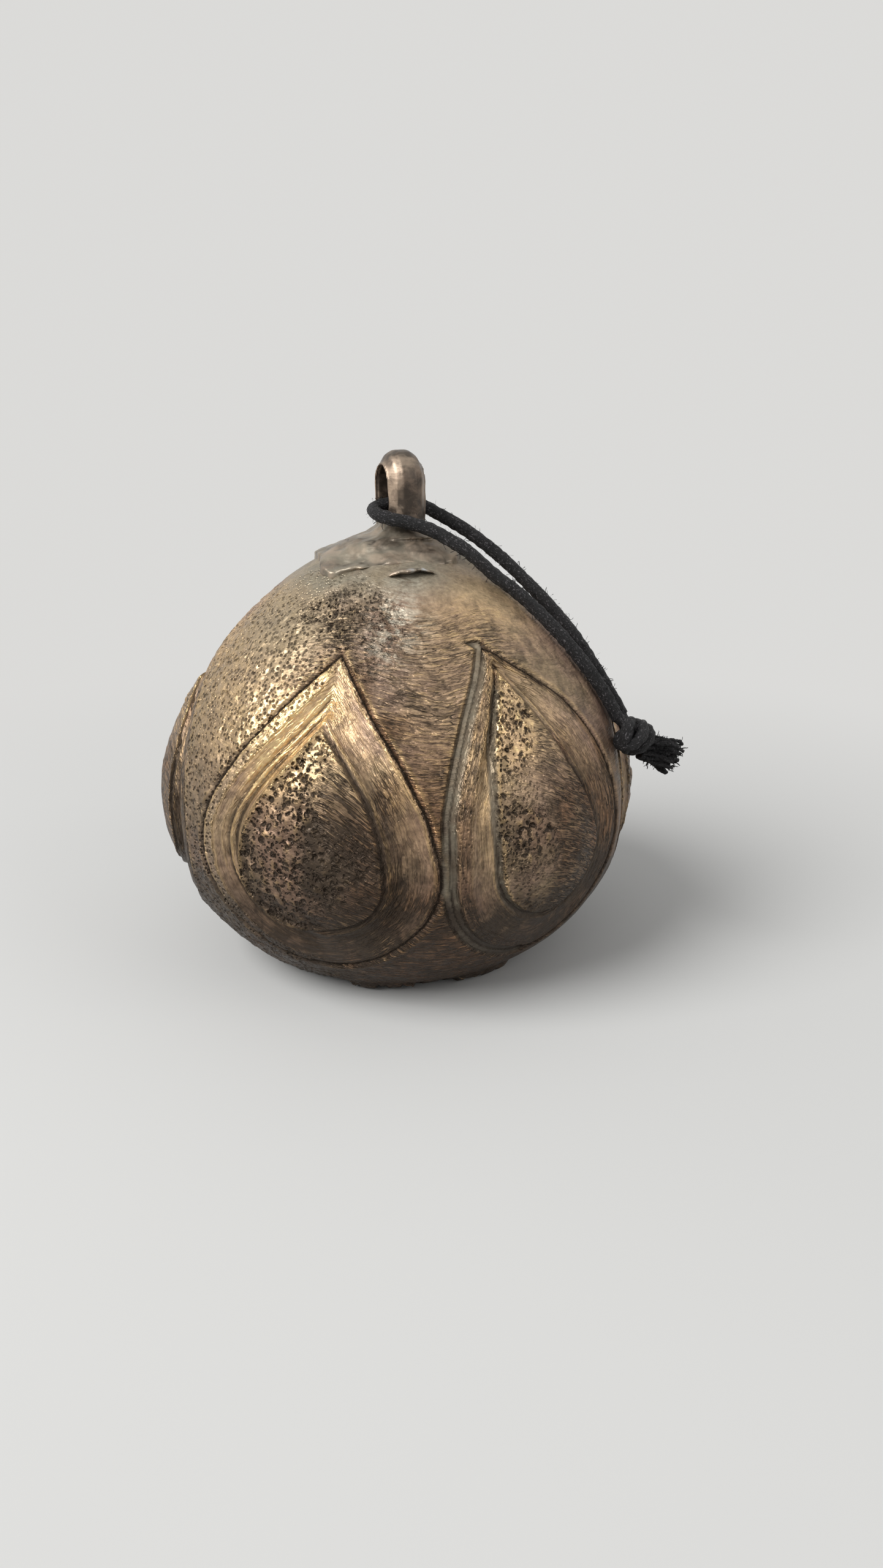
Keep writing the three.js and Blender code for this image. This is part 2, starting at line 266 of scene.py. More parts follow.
def places(piece):
    """The piece's vertices in millimetres."""
    return vertex_vectors(piece, "co") / MM


def set_places(piece, points):
    piece.data.vertices.foreach_set("co", (points * MM).ravel())
    piece.data.update()


def normals(piece):
    return vertex_vectors(piece, "normal")


def neighbours_mean(piece, values):
    """The mean of each vertex's neighbours, for one or more columns of values."""
    ends = np.empty(len(piece.data.edges) * 2, dtype=np.int32)
    piece.data.edges.foreach_get("vertices", ends)
    a, b = ends[0::2], ends[1::2]
    count = len(piece.data.vertices)
    links = np.bincount(a, minlength=count) + np.bincount(b, minlength=count)
    columns = values.reshape(count, -1)
    mean = [
        (np.bincount(a, columns[b, i], count) + np.bincount(b, columns[a, i], count)) / np.maximum(links, 1)
        for i in range(columns.shape[1])
    ]
    return np.stack(mean, axis=1).reshape(values.shape)


def worn_edges(piece, rounds=3):
    """Millimetres by which each vertex stands proud of those around it: under 0 in hollows."""
    points = places(piece)
    around = points
    for _ in range(rounds):
        around = neighbours_mean(piece, around)
    return np.einsum("ij,ij->i", points - around, normals(piece))


def set_values(piece, name, values):
    """Keeps a number, or a vector, for each vertex under a name that a material can read."""
    kind = "FLOAT_VECTOR" if values.ndim > 1 else "FLOAT"
    field = "vector" if values.ndim > 1 else "value"
    attribute = piece.data.attributes.new(name, kind, "POINT")
    attribute.data.foreach_set(field, np.ascontiguousarray(values, dtype=np.float32).ravel())


def apply_modifier(piece, kind, **settings):
    only(piece)
    modifier = piece.modifiers.new(kind.title(), kind)
    for key, value in settings.items():
        setattr(modifier, key, value)
    bpy.ops.object.modifier_apply(modifier=modifier.name)


def set_in_place(piece):
    only(piece)
    bpy.ops.object.transform_apply(location=True, rotation=True, scale=True)


def edit_all():
    bpy.ops.object.mode_set(mode="EDIT")
    bpy.ops.mesh.select_all(action="SELECT")


def close_edit(merge=0.0):
    """Merges vertices that meet, turns all faces outward and leaves edit mode."""
    bpy.ops.mesh.select_all(action="SELECT")
    if merge:
        bpy.ops.mesh.remove_doubles(threshold=merge)
    bpy.ops.mesh.normals_make_consistent(inside=False)
    bpy.ops.object.mode_set(mode="OBJECT")


def subdivide_all(cuts):
    edit_all()
    bpy.ops.mesh.subdivide(number_cuts=cuts)
    bpy.ops.object.mode_set(mode="OBJECT")


def ring_faces(rings, sides, first=0):
    """The faces of a tube made of rings of vertices, and the two that close its ends."""
    faces = []
    for start in range(first, first + (rings - 1) * sides, sides):
        for k in range(sides):
            a, b = start + k, start + (k + 1) % sides
            faces.append((a, b, b + sides, a + sides))
    last = first + (rings - 1) * sides
    return [*faces, tuple(range(first, first + sides))[::-1], tuple(range(last, last + sides))]


def join(name, pieces):
    deselect()
    for piece in pieces:
        piece.select_set(True)
    bpy.context.view_layer.objects.active = pieces[0]
    bpy.ops.object.join()
    pieces[0].name = pieces[0].data.name = name
    return pieces[0]


def finish_piece(piece, material, slot, body, *nodes):
    only(piece)
    bpy.ops.object.shade_smooth()
    piece.data.materials.clear()
    piece.data.materials.append(material)
    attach(piece, body)
    if nodes:
        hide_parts(*nodes)


# The body's outline

def outline_points(radius, bore, crown, count):
    """Evenly spaced [radius, height] points in millimetres, from the rim up to the crown's middle."""
    sizes = bpy.context.scene.bell_body
    widest = sizes.widest_height / MM
    reach = widest / math.sqrt(1 - (bore / radius) ** 2)
    share = radius / (sizes.radius / MM)
    rise = np.sin(np.linspace(0, math.pi / 2, 400, endpoint=False))
    low_height = widest * rise
    low_radius = radius * np.sqrt(1 - ((widest - low_height) / reach) ** 2)
    t = np.linspace(0, 1, 800)[:, None]
    ends = np.array([
        [radius, widest],
        [radius, widest + sizes.shoulder_rise / MM * share],
        [sizes.crown_spread / MM * share, crown],
        [0, crown],
    ])
    weights = ((1 - t) ** 3, 3 * t * (1 - t) ** 2, 3 * t**2 * (1 - t), t**3)
    high = sum(weight * end for weight, end in zip(weights, ends))
    points = np.vstack([np.stack([low_radius, low_height], axis=1), high])
    way = ways_along(points)
    return read_off(np.linspace(0, way[-1], count), way, points)


def outside_points(count=600):
    sizes = bpy.context.scene.bell_body
    return outline_points(sizes.radius / MM, sizes.mouth_radius / MM, sizes.crown_height / MM, count)


class Surface:
    """The smooth outside of the body: radius, height and outward normal at each distance up from the rim."""

    def __init__(self):
        self.points = outside_points()
        steps = np.gradient(self.points, axis=0)
        steps /= np.linalg.norm(steps, axis=1)[:, None]
        self.out = np.stack([steps[:, 1], -steps[:, 0]], axis=1)
        self.way = ways_along(self.points)

    def at(self, way):
        radius, height = read_off(way, self.way, self.points).T
        return radius, height, read_off(way, self.way, self.out)

    def height_at(self, radius):
        """Height of the shoulder or crown over a radius."""
        order = slice(None, len(self.points) // 3, -1)
        return np.interp(radius, self.points[order, 0], self.points[order, 1])


# Lotus petals: turns in degrees from the middle of the front to the right, and heights in millimetres

Outline = namedtuple("Outline", "left right foot widest tip lean left_bulge right_bulge")
Petal = namedtuple("Petal", "turn outer inner strip scoop lip groove dome stony line gouges")

# A pair of numbers holds for a petal's left and right side. Widths and depths are in millimetres
PETALS = [
    Petal(
        -18, Outline(28, 28.5, 11.5, 36, 78, 2, 2, 2), Outline(16, 17.5, 22.5, 34.5, 64.8, 1, 2, 2.4),
        strip=(3.3, 0.9), scoop=(2.7, 1.7), lip=(0.7, 0.1), groove=(0.1, 0.85),
        dome=0.9, stony=1.0, line=(0.85, 0.85), gouges=1.0,
    ),
    Petal(
        38, Outline(26, 24.5, 11.5, 36, 78.4, -7, 2.3, 3.4), Outline(15, 15, 23, 38, 74.3, -5, 3, 1.6),
        strip=(4.6, 1.6), scoop=(1.1, 1.2), lip=(0.25, 0.1), groove=(1.3, 0.4),
        dome=0.8, stony=0.34, line=(2.0, 0.35), gouges=0.2,
    ),
    Petal(
        -81, Outline(28, 28, 12, 36, 82, -6, 2, 2), Outline(16, 16, 23, 34, 68, 2, 2.4, 3),
        strip=(1.4, 3.0), scoop=(1.4, 1.7), lip=(0.2, 0.3), groove=(0.5, 0.8),
        dome=0.7, stony=0.5, line=(0.8, 0.6), gouges=0.6,
    ),
    Petal(
        95, Outline(28.5, 28, 12, 36, 79, 3, 2, 2.2), Outline(16, 17, 23, 35, 66, 1, 2.2, 2.4),
        strip=(2.4, 1.4), scoop=(1.6, 1.2), lip=(0.4, 0.2), groove=(0.6, 0.7),
        dome=0.8, stony=0.35, line=(0.9, 0.7), gouges=0.6,
    ),
    Petal(
        157, Outline(28, 28.5, 12, 36, 77, -3, 2, 2), Outline(16.5, 16, 23, 35, 65, -1, 2, 2.3),
        strip=(3.0, 1.0), scoop=(1.9, 1.2), lip=(0.5, 0.1), groove=(0.2, 0.9),
        dome=0.9, stony=0.85, line=(0.6, 0.8), gouges=0.9,
    ),
    Petal(
        218, Outline(28, 27.5, 11.5, 36, 80, 4, 2.2, 2), Outline(16, 16.5, 22.5, 35, 67, 2, 2.4, 2.2),
        strip=(1.6, 2.6), scoop=(1.2, 1.7), lip=(0.2, 0.3), groove=(0.9, 0.4),
        dome=0.8, stony=0.4, line=(0.8, 0.6), gouges=0.6,
    ),
]
# The ground between petals: its middle turn, how granular and how rasped it is
GROUNDS = [(-50, 1, 0), (10, 0.08, 1), (66, 0, 0.15), (126, 0.75, 0.2), (188, 0.1, 0.9), (248, 0.95, 0.1)]
# Heights between which the carving fades towards the foot
FADE_LOW, FADE_HIGH = 14, 30
# Turns between which a thin flash stands on the rim
FLASH = [(-17, 8), (24, 47), (61, 78), (104, 151), (-58, -31), (-112, -80), (-168, -131)]


def inside_outline(outline, turn, height, per_degree, climb):
    """Millimetres inside a petal's outline, under 0 outside it, and the distance to its nearest line."""
    half = np.where(turn < 0, outline.left, outline.right)
    foot = outline.widest - outline.foot
    across, down = turn / half, (outline.widest - height) / foot
    oval = np.maximum(np.hypot(across, down), 1e-3)
    slope = np.hypot(across / (half * per_degree), down * climb / foot) / oval
    under = (1 - oval) / np.maximum(slope, 1e-3)
    share = np.clip((height - outline.widest) / (outline.tip - outline.widest), 0, 1.6)
    sides = []
    halves = ((-1, outline.left, outline.left_bulge), (1, outline.right, outline.right_bulge))
    for side, reach, bulge in halves:
        drawn_in = reach - side * outline.lean
        edge = reach - drawn_in * share**bulge
        steep = drawn_in * bulge * share ** (bulge - 1) / (outline.tip - outline.widest) * climb * per_degree
        sides.append((edge - side * turn) * per_degree / np.hypot(1, steep))
    above = np.minimum(*sides)
    inside = np.where(height < outline.widest, under, above)
    overrun = 40 * smooth(share, 1.02, 1.08)
    line = np.where(height < outline.widest, np.abs(under), np.minimum(*np.abs(sides)) + overrun)
    return inside, line


def rib(distance, width):
    """1 on a line, falling smoothly to 0 over about the width."""
    return np.exp(-((distance / width) ** 2))


def notch(distance, width):
    """1 on a line, falling straight to 0 at the width."""
    return np.clip(1 - np.abs(distance) / width, 0, 1)


Carving = namedtuple("Carving", "relief within field channel left outer inner strip chisel crease")


def carve_petal(petal, turn, height, per_degree, climb, uneven):
    """One petal: its cut outline, a pitted strip, a scooped channel with gouges and a domed bare field."""
    left = smooth(turn - petal.outer.lean * smooth(height, 40, 76), 3, -3)
    low = smooth(height, FADE_HIGH, FADE_LOW)
    outer, outer_line = inside_outline(petal.outer, turn, height, per_degree, climb)
    inner, inner_line = inside_outline(petal.inner, turn, height, per_degree, climb)

    def sided(pair):
        return pair[0] * left + pair[1] * (1 - left)

    within = smooth(outer, -0.2, 0.3)
    strip_width = sided(petal.strip)
    share = np.clip((outer - strip_width) / np.maximum(outer - strip_width - inner, 0.01), 0, 1)
    share = np.where(inner > 0, 1, np.where(outer < strip_width, 0, share))
    hollow = np.sin(math.pi * share**1.25)
    relief = -0.35 * within - sided(petal.scoop) * hollow * (1 - 0.45 * low)
    for middle, ridge in ((0.3, 0.25), (0.52, 0.55), (0.78, 0.3)):
        gouge = notch(share - middle - 0.05 * uneven, 0.08)
        relief += 1.5 * petal.gouges * ridge * (0.2 + 0.8 * left) * gouge * (1 - 0.7 * low)
    relief += 0.3 * rib(outer - 0.9, 0.5) * within * (0.4 + 0.6 * left) * (1 - 0.6 * low)
    line_width = sided(petal.line)
    narrow = np.minimum(line_width, 1)
    relief += 0.5 * narrow * rib(outer + 1.1, 0.85) * (1 - left) * (1 - 0.4 * low)
    trough = smooth(outer_line, line_width, 0.5 * line_width)
    cut_across = np.where(line_width > 1.2, trough, notch(outer_line, line_width))
    relief -= (0.1 + 0.65 * narrow + 0.25 * uneven) * cut_across * (1 - 0.3 * low)
    groove = sided(petal.groove)
    inner_cut = notch(inner_line, 0.5 + 0.5 * np.maximum(groove, 0.6))
    relief -= groove * (0.8 + 0.3 * uneven) * inner_cut * (1 - 0.3 * low)
    beside = 0.4 * rib(inner + 1.1, 0.5) * (1 - left)
    relief += sided(petal.lip) * rib(inner - 0.5, 0.8) * (1 - 0.7 * low) + beside
    field = smooth(inner, 0, 0.8)
    relief += petal.dome * smooth(inner, 0, 9) * (1 - 0.3 * low)
    strip = within * (1 - smooth(outer, strip_width - 0.4, strip_width + 0.5)) * (1 - field)
    wide = smooth(line_width, 1.0, 1.4)
    inner_trough = 0.9 * smooth(inner_line, 1.1, 0.5) * smooth(groove, 0.9, 1.1) * left
    chisel = np.maximum(trough, inner_trough) * wide
    crease = np.maximum(notch(outer_line, 0.9) * (1 - wide) * narrow, 0.8 * notch(inner_line, 0.8) * groove)
    return Carving(relief, within, field, hollow * within, left, outer, inner, strip, chisel, crease)


class Skin:
    """The body's outside, vertex by vertex: its places, how high its relief stands and its masks."""

    def __init__(self, points, way, surface):
        self.points, self.way = points, way
        self.radius, self.height, out = surface.at(way)
        self.climb = np.abs(out[:, 0])
        self.per_degree = np.maximum(self.radius, 1) * PER_DEGREE
        self.turn = np.degrees(np.arctan2(points[:, 0], -points[:, 1]))
        self.broad, self.patchy = waves(points, 13, 20), waves(points, 6, 21)
        for name in ("relief", "within", "pits", "grit", "rasp", "gold", "dark", "chisel"):
            setattr(self, name, np.zeros(len(points)))
        # Distance across the tool marks: they run level on the ground and along the channels on the petals
        tilt = np.sin(self.turn * PER_DEGREE * 7) * 1.5
        self.marks = way + tilt + 1.2 * self.broad
        self.along = self.turn * self.per_degree
        drawn_turn = self.turn + 0.75 * waves(points, 17, 3) + 0.22 * waves(points, 6, 4)
        drawn_height = self.height + 0.7 * waves(points, 19, 5) + 0.2 * waves(points, 7, 6)
        for petal in PETALS:
            self.carve(petal, drawn_turn, drawn_height)
        self.lay_grounds()
        self.roughen()
        self.work_by_hand()
        self.rub_stain_and_paint_light()

    def spot(self, at_turn, at_way, wide, tall, lean=0.0):
        """A soft oval patch, 1 in its middle: wide and tall are its half sizes in millimetres."""
        across = (np.mod(self.turn - at_turn + 180, 360) - 180) * 0.9
        up = self.way - at_way
        return np.exp(-(((across + lean * up) / wide) ** 2) - ((up - lean * across) / tall) ** 2)

    def carve(self, petal, drawn_turn, drawn_height):
        """Cuts one petal and sets how stony, rasped, rubbed and dark its parts are, with painted highlights
        on its upper and left parts and painted shade on its lower and right parts.
        """
        turn = np.mod(drawn_turn - petal.turn + 180, 360) - 180
        near = (np.abs(turn) < 42) & (self.height < 92)
        up, across, broad, uneven = self.height[near], turn[near], self.broad[near], self.patchy[near]
        per_degree = self.per_degree[near]
        cut = carve_petal(petal, across, drawn_height[near], per_degree, self.climb[near], broad)
        right, bare = 1 - cut.left, cut.within - cut.field
        self.relief[near] += cut.relief
        self.within[near] = np.maximum(self.within[near], cut.within)
        self.chisel[near] += cut.chisel

        border = 9 * (petal.stony - 0.5) - across * 0.42 + 4 * broad + 2 * uneven
        stony = smooth(border, -1.5, 1.5) * cut.field
        reaching = np.maximum(smooth(petal.stony, 0.4, 0.6), smooth(up, 30, 46))
        stony *= smooth(petal.stony, 0.15, 0.3) * reaching
        self.pits[near] += stony
        self.grit[near] += (
            cut.strip * (0.35 + 0.65 * cut.left) * petal.stony
            + 0.8 * cut.field * (1 - stony) * smooth(across, 2, -7)
        )
        self.rasp[near] += (
            cut.field * (1 - stony) * (1 - 0.8 * cut.left)
            + bare * (0.2 + 0.5 * right * smooth(uneven, -0.4, 0.5))
        )
        self.rasp[near] += 0.4 * cut.strip * (1 - petal.stony)

        upper = smooth(up, 30, 60)
        # Rubbed bronze, laid thicker on the upper parts and on the left side that faces the key lamp: partly
        # real rubbing, partly painted highlight.
        self.gold[near] += (
            cut.channel * (0.15 + 0.65 * upper) * (0.6 + 0.8 * cut.left)
            + 0.3 * stony * smooth(up, 36, 60) + 0.4 * cut.strip * upper
        )
        self.gold[near] += 0.5 * cut.field * smooth(up, 48, 62)
        # Painted shade: darker on the lower stony fields and on the petals' right sides, away from the key
        # lamp. The dark in the strips and the cut lines is real patina.
        self.dark[near] += (
            0.45 * stony * smooth(up, 62, 44)
            + cut.field * smooth(across, -4, 5) * (0.15 + 0.6 * petal.stony) * smooth(up, 60, 42)
            + 0.4 * bare * right * smooth(up, 44, 26)
        )
        beside = smooth(cut.inner, -6, -0.5) * bare
        self.dark[near] += right * (0.5 * beside * smooth(up, 66, 46) + 0.3 * bare * smooth(up, 72, 44))
        self.dark[near] += 0.6 * cut.strip * (1 - petal.stony)
        self.dark[near] += 0.45 * cut.crease * (1 - cut.chisel)

        flowing = bare > 0.5
        turned = self.marks[near] + np.where(cut.field > 0.5, across * per_degree * 0.4, 0)
        self.marks[near] = np.where(flowing, cut.outer * 1.1, turned)
        self.along[near] = np.where(flowing, self.way[near], self.along[near])

    def lay_grounds(self):
        """Makes the ground between petals granular or rasped, and keeps both out of the chisel's troughs."""
        self.outside = np.clip(1 - self.within, 0, 1)
        for middle, gritty, rasped in GROUNDS:
            away = np.abs(np.mod(self.turn - middle + 180, 360) - 180) + 5 * self.patchy
            zone = smooth(away, 40, 26) * self.outside
            self.grit += gritty * zone * smooth(self.height + 3 * self.patchy, 92, 84)
            self.rasp += rasped * zone * smooth(self.height + 4 * self.broad, 88, 80)
        self.chisel = np.clip(self.chisel, 0, 1)
        self.grit = np.clip(self.grit, 0, 1) * (1 - self.chisel)
        self.rasp = np.clip(self.rasp, 0, 1) * (1 - 0.95 * self.chisel)

    def roughen(self):
        """Coarse lumps in the bare fields, a granular skin on the ground and cracked pits on the shoulder."""
        crack_spots = self.spot(-20, 103, 15, 8, 0.2) + self.spot(-5, 95, 11, 9)
        cracked = smooth(crack_spots + 0.35 * self.patchy, 0.25, 0.75)
        grain, lumps = rough(self.points, 1.3, 2, 9), rough(self.points, 2.0, 3, 8)
        stirred = self.points + 0.7 * np.stack([grain, lumps, -grain], axis=1)
        fine, fine_next = cell_distance(stirred, 1.25, 1, self.grit > 0.02)
        coarse, coarse_next = cell_distance(stirred, 2.0, 2, self.pits + cracked > 0.02)
        cleft = smooth(fine_next - fine, 0.3, 0.04) * smooth(lumps, 0.5, -0.3)
        self.relief += self.grit * (0.13 * grain - 0.16 * cleft - 0.2 * smooth(fine, 0.34, 0.08))
        deep_cleft = smooth(coarse_next - coarse, 0.32, 0.02) * smooth(grain, 0.6, -0.4)
        holes = smooth(coarse, 0.36, 0.1) * smooth(lumps, 0.35, -0.2)
        self.relief += self.pits * (0.32 * lumps + 0.12 * grain - 0.5 * holes)
        cracks = 0.35 * deep_cleft * smooth(lumps, 0.3, -0.2)
        self.relief -= cracked * (cracks + 0.4 * holes + 0.15 * smooth(lumps, 0.1, 0.5))
        self.crack_dirt = 0.45 * cracked * (deep_cleft + holes)
        self.pits = np.clip(self.pits + 0.7 * cracked, 0, 1)

    def work_by_hand(self):
        """Rasp ridges wide enough for the mesh, the uneven body under everything and the flash on the rim."""
        points = self.points
        ridges = waves(np.stack([self.along * 0.12, 0 * self.along, self.marks], axis=1), 1.05, 14)
        self.relief += 0.07 * self.rasp * ridges
        uneven = 0.3 * waves(points, 24, 15) + 0.16 * waves(points, 11, 16) + 0.05 * waves(points, 4, 17)
        self.relief += uneven
        for start, end in FLASH:
            reach = smooth(self.turn, start, start + 1.5) * smooth(self.turn, end, end - 1.2)
            self.relief += (0.9 + 0.35 * self.patchy) * reach * smooth(self.height, 3.6, 1.2)
        self.relief *= smooth(self.radius, 5, 14)

    def rub_stain_and_paint_light(self):
        """Where the bronze is rubbed bright, dirty, grey or chalky, where highlights and shade are painted
        into its colour, and which way its tool marks run.
        """
        turn, height, patchy, spot = self.turn, self.height, self.patchy, self.spot
        gold, dark = self.gold, self.dark
        gold += 0.85 * spot(44, 104, 22, 11) + 0.35 * spot(20, 92, 14, 10)
        gold += 0.35 * spot(12, 70, 8, 16) + 0.35 * spot(-66, 66, 9, 24)
        gold += 0.5 * spot(2, 62, 5, 18) * smooth(patchy, -0.6, 0.2)
        gritty = 0.12 * self.grit * smooth(height, 36, 66)
        # Painted highlights: two spots on the front petal's upper-left edge and upper channel, and on the
        # next line the upper ground to its left, where the surface faces the key lamp.
        gold += gritty + 0.9 * spot(-27, 70, 7, 9) + 0.5 * spot(-17, 84, 9, 8)
        gold += 0.72 * self.outside * smooth(turn, -20, -40) * smooth(turn, -85, -65) * smooth(height, 40, 62)
        # Painted shade: the body grows darker towards its foot, and the ground between petals darker below
        # the shoulder, with a little more towards the sides. The cracks hold real dirt.
        dark += self.crack_dirt + 1.45 * smooth(height, 35, 15) + 0.05 * spot(56, 42, 24, 22)
        dark += (
            0.1 * smooth(np.abs(turn), 50, 110) + 0.4 * self.outside * smooth(height, 84, 40)
            + 0.16 * smooth(height, 70, 40) + 0.1
        )
        dark += 0.5 * spot(-2, 84, 6, 12) * smooth(patchy, -0.3, 0.5)
        self.gold, self.dark = np.clip(gold, 0, 1.3), np.clip(dark, 0, 1.2)

        grey = 0.95 * smooth(height, 85, 91) * (1 - 0.6 * spot(48, 108, 14, 9)) + 0.5 * spot(-40, 100, 30, 11)
        grey += 0.3 * self.grit * smooth(turn, -20, -40) * smooth(turn, -80, -60)
        grey_foot = 0.35 * smooth(height, 40, 20) * smooth(self.broad, 0.0, 0.6)
        grey += grey_foot + 0.9 * smooth(self.chisel, 0.1, 0.6)
        x, y = self.points[:, 0], self.points[:, 1]
        chalk = 0.8 * spot(4, 103, 9, 8) + 0.5 * spot(0, 94, 6, 6)
        chalk += 1.2 * np.exp(-(((x - 4) / 2.2) ** 2) - ((y + 20.9) / 0.9) ** 2)
        self.grey, self.chalk = grey, chalk
        self.flow = np.stack([self.along * 0.2, 0.3 * self.radius, self.marks * 1.5], axis=1)


# Node material helpers

def new_material(name):
    """A new material with its shader and the short calls for its nodes."""
    material = bpy.data.materials.new(name)
    material.use_nodes = True
    n = Nodes(material)
    shader = n.add("BsdfPrincipled")
    n.add("OutputMaterial", shader.outputs[0])
    return material, shader, n


def shade(colour, factor):
    return tuple(c * factor for c in colour)


class Nodes:
    """An emptied node tree, with short calls that add a node and link or set its inputs."""

    def __init__(self, owner):
        self.tree = owner.node_tree
        self.tree.nodes.clear()

    def put(self, socket, value):
        if isinstance(value, bpy.types.NodeSocket):
            self.tree.links.new(value, socket)
        else:
            socket.default_value = value

    def fill(self, node, entries):
        for name, value in entries.items():
            self.put(node.inputs[name], value)

    def add(self, kind, *values, **named):
        """A new node. Values go to its inputs in order, named ones to the input or setting of that name."""
        node = self.tree.nodes.new("ShaderNode" + kind)
        for name, value in named.items():
            if name.title() in node.inputs:
                self.put(node.inputs[name.title()], value)
            else:
                setattr(node, name, value)
        for socket, value in zip(node.inputs, values):
            self.put(socket, value)
        return node

    def coordinates(self):
        return self.add("TexCoord").outputs["Object"]

    def attribute(self, name, output="Fac"):
        return self.add("Attribute", attribute_name=name).outputs[output]

    def noise(self, vector, scale, detail=2.0, roughness=0.5, distortion=0.0):
        entries = {"scale": scale, "detail": detail, "roughness": roughness, "distortion": distortion}
        return self.add("TexNoise", vector, **entries).outputs[0]

    def cells(self, vector, scale):
        return self.add("TexVoronoi", vector, scale=scale).outputs["Distance"]

    def math(self, operation, a, b=0.0):
        return self.add("Math", a, b, operation=operation).outputs[0]

    def times(self, a, b):
        return self.math("MULTIPLY", a, b)

    def plus(self, a, b):
        return self.math("ADD", a, b)

    def scaled(self, vector, factors):
        return self.add("Mapping", vector, scale=factors).outputs[0]

    def remap(self, value, low, high, to_low=0.0, to_high=1.0):
        node = self.add("MapRange", value, low, high, to_low, to_high, interpolation_type="SMOOTHSTEP")
        return node.outputs[0]

    def mix(self, factor, a, b, blend="MIX"):
        node = self.add("Mix", factor, data_type="RGBA", blend_type=blend)
        for socket, entry in zip(node.inputs[6:8], (a, b)):
            self.put(socket, entry if isinstance(entry, bpy.types.NodeSocket) else (*entry, 1))
        return node.outputs[2]

    def warp(self, vector, scale, reach):
        """The vector, pushed about by noise."""
        noise = self.noise(vector, scale).node.outputs["Color"]
        push = self.add("VectorMath", noise, (reach, reach, reach), vector, operation="MULTIPLY_ADD")
        return push.outputs[0]

    def bump(self, height, depth, strength=1.0, **under):
        """A normal bent by a height, over another normal where one is given."""
        return self.add("Bump", height=height, distance=depth, strength=strength, **under).outputs[0]

    def seen(self):
        """1 for rays that the camera sees by: straight, mirrored or through something clear."""
        rays = self.add("LightPath").outputs
        straight = self.math("MAXIMUM", rays["Is Camera Ray"], rays["Is Glossy Ray"])
        return self.math("MAXIMUM", straight, rays["Is Transmission Ray"])


